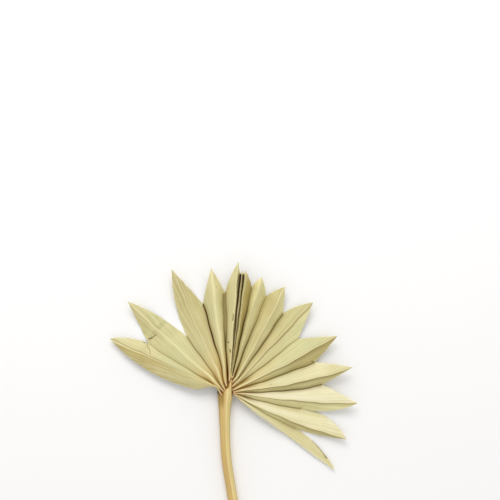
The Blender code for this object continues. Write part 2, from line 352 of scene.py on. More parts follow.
@dataclass(frozen=True)
class FanPlan:
    """Where the ribs, valleys and cut edges of the fan run, in plan and in height.

    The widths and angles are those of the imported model's fan, and the folds are drawn on from
    its round opening to the head of the stalk. Half pleat is what half an even pleat would span
    if it lay flat, in degrees round the hub, and least fold what goes into its height at least.
    Steepest is the steepest side of a pleat, in degrees. The corners are the bearings of the
    outer margins at the stalk, and the left one opens at a distance of its own. Each gather is a
    fold's number and the distance from the hub up to which that fold and the next ones bunch
    together. Bow arches a blade, and wander is how far a fold strays to its sides.
    """

    half_pleat: float = 10.4
    least_fold: float = 2.5
    bow: float = 0.0012
    tip_flattens: float = 0.5
    tip_slope: float = 1.3
    right_corner: float = -32.0
    left_corner: float = 164.0
    steepest: float = 80.0
    gathers: tuple[tuple[int, float], ...] = ((0, 0.014), (23, 0.022), (29, 0.0115))
    margin_opens: float = 0.0110
    wander: float = 0.00028
    wander_lengths: Point = (0.0065, 0.0028)
    cut_unevenness: float = 0.00016

    def place(self, bearing: np.ndarray, distance: np.ndarray) -> np.ndarray:
        """Turn a bearing and a distance from the hub into a point on the plane."""
        angle = np.radians(bearing)
        return np.stack(
            [HUB[0] + distance * np.cos(angle), HUB[1] + distance * np.sin(angle)], axis=-1
        )

    def fold_line(
        self, bearing: np.ndarray, order: int, base: Point, distance: np.ndarray
    ) -> np.ndarray:
        """Draw one fold in plan, from the head of the stalk outwards.

        Args:
            bearing: The fold's own bearing at each distance.
            order: The fold's number, counted from the right-hand margin.
            base: Where the fold starts, in millimetres from the hub.
            distance: Distances from the hub, in metres.

        Returns:
            The points of the fold.
        """
        even = self.right_corner + (self.left_corner - self.right_corner) * order / (2 * len(BLADES))
        bunched_to = [reach for first, reach in self.gathers if order >= first][-1]
        share = smoothstep((distance - HUB_RADIUS) / (bunched_to - HUB_RADIUS))
        hub_bearing = 0.5 * (bearing + even) if order >= self.gathers[1][0] else bearing
        points = self.place(hub_bearing + (bearing - hub_bearing) * share, distance)
        start = self.place(hub_bearing, np.full_like(distance, HUB_RADIUS))
        shift = HUB + np.array(base) * MM - start
        points = points + shift * (1.0 - share)[..., None]
        return points + self.sway(bearing, order, distance)

    def sway(self, bearing: np.ndarray, order: int, distance: np.ndarray) -> np.ndarray:
        """Let a fold wander a little to its sides, as a dried one does.

        Args:
            bearing: The fold's own bearing at each distance.
            order: The fold's number, counted from the right-hand margin.
            distance: Distances from the hub, in metres.

        Returns:
            How far the fold is shifted, in plan.
        """
        across = np.radians(bearing + 90.0)
        phase = 2.4 * order
        long, short = self.wander_lengths
        wave = np.sin(distance / long + phase) + 0.5 * np.sin(distance / short + 2.3 * phase)
        size = self.wander * smoothstep(distance / 0.05) * wave
        return np.stack([size * np.cos(across), size * np.sin(across)], axis=-1)

    def rib_shade_line(self, index: int, distance: np.ndarray) -> np.ndarray:
        """Draw a blade's rib in plan. A swept rib curves on its way to the tip.

        Args:
            index: The blade.
            distance: Distances from the hub, in metres.

        Returns:
            The points of the rib.
        """
        blade = BLADES[index]
        bearing = blade.bearing + blade.sweep * (1.0 - distance / blade.reach)
        return self.fold_line(bearing, 2 * index + 1, blade.base, distance)

    def cleft_line(self, index: int, distance: np.ndarray) -> np.ndarray:
        """Draw a valley, or an outer margin, in plan.

        Args:
            index: The valley.
            distance: Distances from the hub, in metres.

        Returns:
            The points of the valley.
        """
        cleft = CLEFTS[index]
        left = BLADES[min(index, len(BLADES) - 1)].base
        right = BLADES[max(index - 1, 0)].base
        base = (0.5 * (left[0] + right[0]), 0.5 * (left[1] + right[1]))
        if index == 0:
            base = (right[0] + 0.2, right[1] - 0.5)
        if index < len(CLEFTS) - 1:
            bearing = cleft.bearing + cleft.sweep * (1.0 - distance / cleft.reach)
            return self.fold_line(bearing, 2 * index, base, distance)
        share = smoothstep((distance - self.margin_opens) / (cleft.reach - self.margin_opens))
        bearing = self.left_corner + (cleft.bearing - self.left_corner) * share
        return self.fold_line(bearing, 2 * index, (left[0] - 0.5, left[1] - 0.3), distance)

    def shoulder(self, index: int) -> float:
        """Find how far from the hub a blade leaves its neighbours."""
        return 0.5 * (CLEFTS[index].reach + CLEFTS[index + 1].reach)

    def drop(self, index: int, side: Side) -> float:
        """Find the fall from a rib to the valley at one side.

        Args:
            index: The blade.
            side: Its side.

        Returns:
            The height in metres, from the width that half a pleat keeps.
        """
        blade = BLADES[index]
        distance = self.shoulder(index)
        rib = blade.bearing + blade.sweep * (1.0 - distance / blade.reach)
        half = abs(CLEFTS[index + side].bearing - rib)
        rise = math.sqrt(max(self.half_pleat**2 - half**2, self.least_fold**2))
        rise = min(rise, half * math.tan(math.radians(self.steepest)))
        return distance * math.radians(rise)

    def crest(self, index: int) -> float:
        """Find the height of a blade's rib at its shoulder.

        Args:
            index: The blade.

        Returns:
            The height in metres.
        """
        floor = 0.5 * (CLEFTS[index].floor + CLEFTS[index + 1].floor)
        drops = self.drop(index, Side.RIGHT) + self.drop(index, Side.LEFT)
        return floor + 0.5 * BLADES[index].fold * drops

    def body_height(self, end: float, share: np.ndarray) -> np.ndarray:
        """Find the height of a rib or a valley on its way from the hub to a given height."""
        return HUB_HEIGHT + (end - HUB_HEIGHT) * share + self.bow * np.sin(math.pi * share)

    def tip_height(self, index: int, share: np.ndarray) -> np.ndarray:
        """Find the height of a rib between its shoulder and its tip.

        Args:
            index: The blade.
            share: How far along, from 0 to 1.

        Returns:
            The heights.
        """
        blade = BLADES[index]
        start = self.crest(index)
        run = (blade.reach - self.shoulder(index)) / (self.shoulder(index) - HUB_RADIUS)
        start_slope = (start - HUB_HEIGHT - self.bow * math.pi) * run
        end_slope = self.tip_slope * (blade.tip_height - start)
        return curve(start, start_slope, blade.tip_height, end_slope, share)

    def margin(self, index: int, side: Side, share: np.ndarray) -> np.ndarray:
        """Draw the cut edge from the notch to the tip.

        Args:
            index: The blade.
            side: Its side.
            share: How far along the edge, from 0 to 1.

        Returns:
            The points of the edge in plan, with the small unevenness of a scissor cut.
        """
        cleft = index + side
        notch = self.cleft_line(cleft, np.array([CLEFTS[cleft].reach]))[0]
        tip = self.rib_shade_line(index, np.array([BLADES[index].reach]))[0]
        turn = -1.0 if side is Side.LEFT else 1.0
        outward = turn * np.array([tip[1] - notch[1], notch[0] - tip[0]])
        control = 0.5 * (notch + tip) + BLADES[index].bulges[side] * outward
        share = share[:, None]
        points = (1 - share) ** 2 * notch + 2 * share * (1 - share) * control + share**2 * tip
        length = float(np.linalg.norm(tip - notch))
        cut = Ripple(
            seed=40 + 2 * index + side,
            height=self.cut_unevenness,
            shortest=0.0035,
            longest=0.0140,
            waves=5,
        )
        uneven = cut.at(share * length, np.zeros_like(share)) * np.sin(math.pi * share) ** 0.5
        return points + uneven * outward / np.linalg.norm(outward)


class Mesh:
    """Small helpers that turn arrays into Blender meshes."""

    @staticmethod
    def make(
        name: str,
        points: np.ndarray,
        faces: Sequence[Sequence[int]],
        crease: float,
    ) -> bpy.types.Object:
        """Put a mesh in the scene, smooth but for its creases.

        Args:
            name: The piece's name.
            points: One row of three coordinates for each point.
            faces: The point numbers of each face, anticlockwise from outside.
            crease: Edges that bend more than this many degrees stay sharp.

        Returns:
            The new object.
        """
        mesh = bpy.data.meshes.new(name)
        mesh.from_pydata(points.tolist(), [], [tuple(face) for face in faces])
        mesh.shade_smooth()
        mesh.set_sharp_from_angle(angle=math.radians(crease))
        mesh.update()
        piece = bpy.data.objects.new(name, mesh)
        bpy.context.scene.collection.objects.link(piece)
        return piece

    @staticmethod
    def note(piece: bpy.types.Object, name: str, domain: Domain, values: np.ndarray) -> None:
        """Keep a number for each point or face of a piece, for its finish to read.

        Args:
            piece: The object whose mesh gets the numbers.
            name: The name that the finish reads.
            domain: Whether they belong to its points or its faces.
            values: The numbers, one for each point or face.
        """
        layer = piece.data.attributes.new(name, "FLOAT", domain.value)
        layer.data.foreach_set("value", np.ascontiguousarray(values, dtype=np.float32))


class Sketch:
    """A material's node tree, drawn with short calls."""

    def __init__(self, name: str) -> None:
        """Start an empty material.

        Args:
            name: The material's name.
        """
        self.material = bpy.data.materials.new(name)
        self.material.use_nodes = True
        self.tree = self.material.node_tree
        self.shader = self.tree.nodes["Principled BSDF"]

    def feed(self, socket: Socket, value: Union[Number, Sequence[float]]) -> None:
        """Join a socket to another one, or set it to a plain value.

        Args:
            socket: The socket that takes the value.
            value: Another socket, a number or a row of numbers.
        """
        if isinstance(value, bpy.types.NodeSocket):
            self.tree.links.new(value, socket)
        elif isinstance(value, (int, float)):
            socket.default_value = value
        else:
            values = tuple(value)
            wanted = len(socket.default_value)
            socket.default_value = values if len(values) == wanted else (*values, 1.0)

    def attribute(self, name: str) -> Socket:
        """Read a number that the mesh keeps.

        Args:
            name: The number's name.

        Returns:
            The number.
        """
        node = self.tree.nodes.new("ShaderNodeAttribute")
        node.attribute_name = name
        return node.outputs["Fac"]

    def position(self) -> Socket:
        """Read the place on the object, in metres."""
        return self.tree.nodes.new("ShaderNodeTexCoord").outputs["Object"]

    def math(self, operation: str, first: Number, second: Number = 0.0, clamp: bool = False) -> Socket:
        """Join two numbers by one operation.

        Args:
            operation: Blender's name for it, such as MAXIMUM.
            first: The first number.
            second: The second number.
            clamp: Whether the result is kept between 0 and 1.

        Returns:
            The result.
        """
        node = self.tree.nodes.new("ShaderNodeMath")
        node.operation = operation
        node.use_clamp = clamp
        self.feed(node.inputs[0], first)
        self.feed(node.inputs[1], second)
        return node.outputs[0]

    def times(self, first: Number, second: Number, clamp: bool = False) -> Socket:
        """Multiply two numbers."""
        return self.math("MULTIPLY", first, second, clamp)

    def plus(self, first: Number, second: Number) -> Socket:
        """Add two numbers."""
        return self.math("ADD", first, second)

    def minus(self, first: Number, second: Number, clamp: bool = False) -> Socket:
        """Take the second number from the first."""
        return self.math("SUBTRACT", first, second, clamp)

    def apart(self, first: Number, second: Number) -> Socket:
        """Read how far apart two numbers are."""
        return self.math("ABSOLUTE", self.minus(first, second))

    def rising(self, value: Number, start: float, slope: float) -> Socket:
        """Read a straight line.

        Args:
            value: The number that the line is read at.
            start: The line's height at 0.
            slope: How fast it rises.

        Returns:
            The line's height.
        """
        line = self.math("MULTIPLY_ADD", value, slope)
        line.node.inputs[2].default_value = start
        return line

    def vector(self, x: Number, y: Number, z: Number) -> Socket:
        """Put three numbers together as a place.

        Args:
            x: The first number.
            y: The second number.
            z: The third number.

        Returns:
            The place.
        """
        node = self.tree.nodes.new("ShaderNodeCombineXYZ")
        for socket, value in zip(node.inputs, (x, y, z)):
            self.feed(socket, value)
        return node.outputs[0]

    def noise(self, place: Socket, scale: float, detail: float = 2.0, rough: float = 0.5) -> Socket:
        """Read a cloudy pattern, about 0.5 on average.

        Args:
            place: Where it is read.
            scale: How many clouds there are to the metre, or to one unit of the place.
            detail: How many finer patterns are laid over it.
            rough: How strong the finer patterns are.

        Returns:
            The pattern, from 0 to 1.
        """
        node = self.tree.nodes.new("ShaderNodeTexNoise")
        self.feed(node.inputs["Vector"], place)
        node.inputs["Scale"].default_value = scale
        node.inputs["Detail"].default_value = detail
        node.inputs["Roughness"].default_value = rough
        return node.outputs["Fac"]

    def flat(self, place: Socket) -> Socket:
        """Read a place with its height left out."""
        return self.between("MULTIPLY", place, (1.0, 1.0, 0.0))

    def between(self, operation: str, first: Socket, second: Union[Socket, Sequence[float]]) -> Socket:
        """Join two places by one operation.

        Args:
            operation: Blender's name for it, such as DISTANCE.
            first: The first place.
            second: The second place.

        Returns:
            A place, or a number if the operation gives one.
        """
        node = self.tree.nodes.new("ShaderNodeVectorMath")
        node.operation = operation
        self.feed(node.inputs[0], first)
        self.feed(node.inputs[1], second)
        return node.outputs["Value" if operation in ("DISTANCE", "DOT_PRODUCT") else "Vector"]

    def gap_to_line(self, place: Socket, start: Point, end: Point) -> Socket:
        """Read the distance in plan to a straight line between two places.

        Args:
            place: The place to measure from, with no height.
            start: One end of the line, in metres.
            end: Its other end.

        Returns:
            The distance in metres.
        """
        along = (end[0] - start[0], end[1] - start[1], 0.0)
        square = along[0] ** 2 + along[1] ** 2
        step = self.between("SUBTRACT", place, (start[0], start[1], 0.0))
        share = self.times(self.between("DOT_PRODUCT", step, along), 1.0 / square, clamp=True)
        foot = self.vector(self.times(share, along[0]), self.times(share, along[1]), 0.0)
        return self.between("DISTANCE", step, foot)

    def cells(self, place: Socket, scale: float) -> Socket:
        """Read the distance to the nearest of many scattered points.

        Args:
            place: Where it is read.
            scale: How many points there are to the metre.

        Returns:
            The distance, as a share of their spacing.
        """
        node = self.tree.nodes.new("ShaderNodeTexVoronoi")
        self.feed(node.inputs["Vector"], place)
        node.inputs["Scale"].default_value = scale
        return node.outputs["Distance"]

    def ramp(
        self, value: Number, low: float, high: float, start: float = 0.0, end: float = 1.0
    ) -> Socket:
        """Turn a range of one number smoothly into another range.

        Args:
            value: The number to read.
            low: Where the ramp begins.
            high: Where it ends.
            start: The result at low and below.
            end: The result at high and above.

        Returns:
            The ramp's result.
        """
        node = self.tree.nodes.new("ShaderNodeMapRange")
        node.interpolation_type = "SMOOTHSTEP"
        self.feed(node.inputs["Value"], value)
        for name, number in (("From Min", low), ("From Max", high), ("To Min", start), ("To Max", end)):
            node.inputs[name].default_value = number
        return node.outputs["Result"]

    def blend(
        self, share: Number, first: Union[Socket, Colour], second: Union[Socket, Colour]
    ) -> Socket:
        """Lay the second colour over the first.

        Args:
            share: How much of the second colour shows.
            first: The colour below.
            second: The colour above.

        Returns:
            The blended colour.
        """
        node = self.tree.nodes.new("ShaderNodeMix")
        node.data_type = "RGBA"
        self.feed(node.inputs["Factor"], share)
        colours = [socket for socket in node.inputs if socket.type == "RGBA"]
        self.feed(colours[0], first)
        self.feed(colours[1], second)
        return next(socket for socket in node.outputs if socket.type == "RGBA")

    def layers(self, colour: Union[Socket, Colour], rows: Sequence[Layer]) -> Socket:
        """Lay colours over one another, each where some number runs through a range.

        Args:
            colour: The colour below them all.
            rows: For each layer its number, where the range begins and ends, how much of the
                layer shows at the range's end, and the layer's colour.

        Returns:
            The blended colour.
        """
        for value, low, high, share, over in rows:
            colour = self.blend(self.ramp(value, low, high, 0.0, share), colour, over)
        return colour

    def bump(self, height: Socket, strength: float, distance: float) -> None:
        """Roughen the shader's surface by a height pattern.

        Args:
            height: The pattern.
            strength: From 0 to 1.
            distance: The height of the pattern in metres.
        """
        node = self.tree.nodes.new("ShaderNodeBump")
        node.inputs["Strength"].default_value = strength
        node.inputs["Distance"].default_value = distance
        self.feed(node.inputs["Height"], height)
        self.tree.links.new(node.outputs["Normal"], self.shader.inputs["Normal"])


@dataclass(frozen=True)
class DryBladeFinish:
    """The fan's surface: dry straw with lengthwise veins, pale ribs and painted valley shade.

    Shade is painted shade on the sheet beside ribs and valleys, and the line colours paint the
    shade lines along them, with colours of their own for the shadow deep in the slits and near
    the hub. Pit and amber are painted shade in the valleys near the hub, amber where a blade is
    warm. The rib colour is partly the ribs' own paleness and partly a painted highlight, the cut
    colour is a painted highlight along the cut edges, and a yellower cream is painted warm light
    thrown back by the folds onto sides turned from the light. Crowdings are how closely a
    pattern is packed across and along a blade.
    A valley's line reaches as far as least line to each side where it has no ink, and further by
    line width where it has all of it. Smoothest is the least roughness, and relief the depth of
    the patterns. Lengths are in metres.
    """

    straw: Colour = srgb(217, 207, 152)
    green: Colour = srgb(207, 204, 150)
    cream: Colour = srgb(244, 237, 203)
    # A yellower cream: painted warm light that the folds throw back onto sides turned from the light
    bounce_cream: Colour = srgb(244, 237, 180)
    olive: Colour = srgb(180, 162, 100)
    # Painted shade beside ribs and valleys
    shade: Colour = srgb(138, 114, 36)
    # Partly the ribs' own pale colour, partly a painted highlight along their ridges
    rib: Colour = srgb(248, 238, 186)
    honey: Colour = srgb(214, 178, 96)
    stain: Colour = srgb(140, 84, 16)
    # Painted shade lines in the valleys and beside the ribs, browner near the hub; the slit colour is the
    # painted shadow deep in the narrow slits
    fold_shade: Colour = srgb(104, 82, 14)
    slit_shadow: Colour = srgb(80, 38, 0)
    hub_fold_shade: Colour = srgb(124, 78, 8)
    # Painted shade in the valleys near the hub, warmer on warm blades
    pit_shade: Colour = srgb(126, 98, 22)
    amber_shade: Colour = srgb(164, 120, 42)
    grey: Colour = srgb(156, 130, 86)
    # A painted highlight along the cut edges
    cut: Colour = srgb(246, 238, 200)
    speck: Colour = srgb(108, 84, 34)
    veins_each_side: float = 6.5
    streak_crowding: Point = (7.0, 9.0)
    fibre_crowding: Point = (17.0, 34.0)
    thread_crowding: Point = (40.0, 26.0)
    line_off_rib: float = 0.00045
    least_line: float = 0.00035
    line_width: float = 0.0009
    line_wander: float = 0.0009
    smoothest: float = 0.45
    gloss: float = 0.12
    relief: float = 0.00016

    def make(self) -> bpy.types.Material:
        """Draw the finish.

        Returns:
            The material.
        """
        sketch = Sketch("dry_blade_finish")
        place = sketch.position()
        vein = sketch.attribute("vein")
        out = sketch.attribute("hub_gap")
        seed = sketch.attribute("seed")
        streaks = self.streaks(sketch, vein, out, seed, self.streak_crowding)
        fibres = self.streaks(sketch, vein, out, seed, self.fibre_crowding)
        threads = self.streaks(sketch, vein, out, seed, self.thread_crowding)
        veins = self.vein_lines(sketch, vein, seed)
        grain = sketch.noise(place, 900.0, 2.0, 0.6)

        colour = self.body_colour(sketch, place, streaks, fibres, threads, veins)
        colour = self.hub_warmth_and_valley_shade(sketch, colour, out, vein, streaks)
        colour = self.fold_lines(sketch, colour, out)
        cracks_and_shadow = self.cracks_and_shadow(sketch, place)
        colour = sketch.blend(cracks_and_shadow, colour, self.speck)
        colour = self.edge_highlight_and_specks(sketch, colour, place, grain)
        sketch.feed(sketch.shader.inputs["Base Color"], colour)
        sketch.feed(sketch.shader.inputs["Roughness"], sketch.rising(threads, self.smoothest, 0.25))
        sketch.shader.inputs["Specular IOR Level"].default_value = self.gloss

        relief = sketch.plus(sketch.times(threads, 0.5), sketch.times(grain, 0.2))
        relief = sketch.plus(relief, sketch.times(veins, 0.6))
        relief = sketch.minus(relief, sketch.times(cracks_and_shadow, 1.2))
        sketch.bump(relief, 0.65, self.relief)
        return sketch.material

    def streaks(self, sketch: Sketch, vein: Socket, out: Socket, seed: Socket, crowding: Point) -> Socket:
        """Draw lengthwise streaks, a new set on each side of each blade.

        Args:
            sketch: The material's sketch.
            vein: How far across half a blade, from 0 at the rib to 1.
            out: Distance from the hub.
            seed: A number for each half blade.
            crowding: How closely the streaks are packed, across and along.

        Returns:
            The pattern, from 0 to 1.
        """
        across = sketch.times(vein, crowding[0])
        along = sketch.times(out, crowding[1])
        return sketch.noise(sketch.vector(across, along, seed), 1.0, 3.0, 0.58)

    def vein_lines(self, sketch: Sketch, vein: Socket, seed: Socket) -> Socket:
        """Draw fine raised veins that run out from the hub, some stronger than others.

        Args:
            sketch: The material's sketch.
            vein: How far across half a blade, from 0 at the rib to 1.
            seed: A number for each half blade.

        Returns:
            The pattern, from 0 to 1.
        """
        count = sketch.times(vein, self.veins_each_side)
        wave = sketch.math("COSINE", sketch.times(count, 2.0 * math.pi))
        lines = sketch.ramp(wave, 0.2, 1.0)
        strength = sketch.noise(sketch.vector(sketch.times(count, 0.8), seed, 0.0), 1.0, 1.0)
        return sketch.times(lines, sketch.ramp(strength, 0.30, 0.70, 0.15, 1.0))

    def body_colour(
        self,
        sketch: Sketch,
        place: Socket,
        streaks: Socket,
        fibres: Socket,
        threads: Socket,
        veins: Socket,
    ) -> Socket:
        """Mix the plain colour of the sheet from its tone and its patterns.

        Args:
            sketch: The material's sketch.
            place: The place on the leaf.
            streaks: The broad lengthwise streaks.
            fibres: Short, finer streaks.
            threads: The finest streaks.
            veins: The vein lines.

        Returns:
            The colour.
        """
        towards_tip = sketch.ramp(sketch.attribute("hub_gap"), 0.030, 0.085)
        fade = sketch.times(sketch.attribute("fade"), towards_tip)
        tone = sketch.plus(sketch.attribute("tone"), fade)
        patches = sketch.noise(place, 28.0, 2.0, 0.5)
        clouds = sketch.noise(place, 60.0, 3.0, 0.6)
        # Sides turned from the light take the yellower cream of painted bounce light
        cream = sketch.blend(sketch.attribute("bounce_light"), self.cream, self.bounce_cream)
        colour = sketch.blend(sketch.ramp(patches, 0.42, 0.68), self.straw, self.green)
        uneven = sketch.times(sketch.minus(streaks, 0.5), 1.6)
        cloudy = sketch.times(sketch.minus(clouds, 0.5), 0.7)
        pale = sketch.plus(tone, sketch.plus(uneven, cloudy))
        layers = (
            (pale, 0.0, 1.1, 0.95, cream),
            (pale, 0.0, -1.1, 0.85, self.olive),
            (fibres, 0.52, 0.72, 0.14, self.olive),
            (fibres, 0.48, 0.30, 0.14, cream),
            (threads, 0.51, 0.76, 0.50, self.olive),
            (threads, 0.49, 0.27, 0.50, cream),
        )
        colour = sketch.layers(colour, layers)
        colour = sketch.blend(sketch.times(veins, 0.20), colour, cream)
        inner = sketch.ramp(sketch.attribute("hub_gap"), 0.058, 0.050)
        return sketch.blend(sketch.times(sketch.attribute("grey"), inner), colour, self.grey)

    def hub_warmth_and_valley_shade(
        self, sketch: Sketch, colour: Socket, out: Socket, vein: Socket, streaks: Socket
    ) -> Socket:
        """Warm the sheet to honey near the hub, paint shade into its valleys there, and stain it
        brown where the ribs crowd.

        Args:
            sketch: The material's sketch.
            colour: The colour so far.
            out: Distance from the hub.
            vein: How far across half a blade, from 0 at the rib to 1.
            streaks: The broad lengthwise streaks.

        Returns:
            The colour.
        """
        near = sketch.ramp(out, 0.050, 0.006, 0.0, 0.85)
        closer = sketch.ramp(out, 0.017, 0.006, 0.0, 0.7)
        warmth = sketch.math("MAXIMUM", sketch.times(near, sketch.attribute("warm")), closer)
        uneven = sketch.ramp(streaks, 0.3, 0.7, 0.5, 1.0)
        colour = sketch.blend(sketch.times(warmth, uneven), colour, self.honey)
        # Painted shade filling the valleys near the hub
        hub_valley_shade = sketch.times(sketch.ramp(vein, 0.15, 0.85), sketch.ramp(out, 0.027, 0.011))
        hub_valley_shade = sketch.times(hub_valley_shade, sketch.ramp(sketch.attribute("fold_shade"), 0.0, 0.8, 0.3, 0.95))
        valley = sketch.blend(sketch.ramp(sketch.attribute("warm"), 0.6, 1.1), self.pit_shade, self.amber_shade)
        colour = sketch.blend(hub_valley_shade, colour, valley)
        stain = sketch.ramp(out, 0.0100, 0.0050)
        off_rib = sketch.ramp(sketch.attribute("rib_gap"), 0.0001, 0.0006, 0.15, 0.9)
        return sketch.blend(sketch.times(stain, off_rib), colour, self.stain)

    def fold_lines(self, sketch: Sketch, colour: Socket, out: Socket) -> Socket:
        """Draw the painted shade lines along the ribs and in the valleys.

        Args:
            sketch: The material's sketch.
            colour: The colour so far.
            out: Distance from the hub.

        Returns:
            The colour.
        """
        fold_shade_colour = sketch.blend(sketch.ramp(out, 0.024, 0.012), self.fold_shade, self.hub_fold_shade)
        # The deepest slits take the colour of their painted shadow
        in_slit = sketch.ramp(sketch.attribute("fold_shade"), 0.78, 0.95)
        fold_shade_colour = sketch.blend(in_slit, fold_shade_colour, self.slit_shadow)
        colour = self.rib_marks(sketch, colour, out, fold_shade_colour)
        return self.valley_marks(sketch, colour, out, fold_shade_colour)

    def rib_marks(self, sketch: Sketch, colour: Socket, out: Socket, fold_shade_colour: Socket) -> Socket:
        """Draw the ribs' pale colour and painted highlight, and painted shade beside some of them.

        Args:
            sketch: The material's sketch.
            colour: The colour so far.
            out: Distance from the hub.
            fold_shade_colour: The colour of the painted shade line.

        Returns:
            The colour.
        """
        rib = sketch.attribute("rib_gap")
        rib_shade_line = sketch.attribute("rib_shade_line")
        # The pale rib is partly its own colour and partly a painted highlight along the ridge
        near_hub = sketch.ramp(out, 0.018, 0.045, 0.8, 0.0)
        paleness = sketch.math("MAXIMUM", near_hub, sketch.attribute("pale"))
        pale = sketch.times(sketch.ramp(rib, 0.00165, 0.00030), paleness)
        colour = sketch.blend(pale, colour, self.rib)
        # Painted shade beside the rib on its shaded side, fading towards the hub
        rib_side_shade = sketch.times(sketch.ramp(rib, 0.0034, 0.0006, 0.0, 0.55), rib_shade_line)
        rib_side_shade = sketch.times(rib_side_shade, sketch.ramp(out, 0.025, 0.062, 0.1, 1.0))
        colour = sketch.blend(rib_side_shade, colour, self.shade)
        # A thin painted shade line just beside the rib, fainter towards the tip
        beside = sketch.ramp(sketch.apart(rib, self.line_off_rib), 0.00065, 0.00015)
        beside = sketch.times(beside, sketch.ramp(out, 0.060, 0.095, 0.8, 0.35))
        return sketch.blend(sketch.times(beside, rib_shade_line), colour, fold_shade_colour)

    def valley_marks(self, sketch: Sketch, colour: Socket, out: Socket, fold_shade_colour: Socket) -> Socket:
        """Draw the painted shade, the strip of painted shade and the shade line of each valley.

        Args:
            sketch: The material's sketch.
            colour: The colour so far.
            out: Distance from the hub.
            fold_shade_colour: The colour of the painted shade line.

        Returns:
            The colour.
        """
        fold = sketch.attribute("fold_gap")
        fold_shade = sketch.attribute("fold_shade")
        shade_band = sketch.attribute("shade_band")
        # Painted shade beside the valley, and over its strip
        shade = sketch.times(sketch.ramp(fold, 0.0040, 0.0, 0.0, 0.5), fold_shade)
        shade = sketch.times(shade, sketch.ramp(out, 0.020, 0.055, 0.5, 1.0))
        strip = sketch.minus(sketch.plus(shade_band, 0.0001), fold)
        shade = sketch.math("MAXIMUM", shade, sketch.ramp(strip, 0.0, 0.0004, 0.0, 0.35))
        colour = sketch.blend(shade, colour, self.shade)
        # The valley's painted shade line
        width = sketch.rising(fold_shade, self.least_line, self.line_width)
        gap = sketch.apart(fold, shade_band)
        near = sketch.minus(1.0, sketch.math("DIVIDE", gap, width), clamp=True)
        strength = sketch.times(fold_shade, 1.15, clamp=True)
        line = sketch.times(sketch.ramp(near, 0.0, 0.75), strength)
        return sketch.blend(line, colour, fold_shade_colour)

    def cracks_and_shadow(self, sketch: Sketch, place: Socket) -> Socket:
        """Draw the cracks and bruises, and a painted shadow line along one edge.

        Args:
            sketch: The material's sketch.
            place: The place on the leaf.

        Returns:
            How dark they are, from 0 to 1.
        """
        ragged = sketch.noise(place, 700.0, 2.0)
        wander = sketch.times(sketch.minus(ragged, 0.5), self.line_wander)
        flat = sketch.flat(place)
        total: Number = 0.0
        for dark_line in CRACKS_AND_SHADOW:
            for start, end in zip(dark_line.places, dark_line.places[1:]):
                gap = sketch.plus(sketch.gap_to_line(flat, start, end), wander)
                dark = sketch.ramp(gap, dark_line.width, 0.35 * dark_line.width, 0.0, dark_line.strength)
                total = sketch.math("MAXIMUM", dark, total)
        return total

    def edge_highlight_and_specks(self, sketch: Sketch, colour: Socket, place: Socket, grain: Socket) -> Socket:
        """Pale the cut edge a little with a painted highlight, and scatter a few tiny specks.

        Args:
            sketch: The material's sketch.
            colour: The colour so far.
            place: The place on the leaf.
            grain: The finest pattern, that breaks up the pale edge.

        Returns:
            The colour.
        """
        # A broken painted highlight along the cut edge
        edge = sketch.ramp(sketch.attribute("cut_gap"), 0.00055, 0.0001, 0.0, 0.55)
        broken = sketch.times(edge, sketch.ramp(grain, 0.3, 0.6))
        colour = sketch.blend(broken, colour, self.cut)
        specks = sketch.cells(place, 150.0)
        rare = sketch.ramp(sketch.noise(place, 45.0, 1.0), 0.61, 0.66)
        spot = sketch.times(sketch.ramp(specks, 0.080, 0.045, 0.0, 0.6), rare)
        return sketch.blend(spot, colour, self.speck)


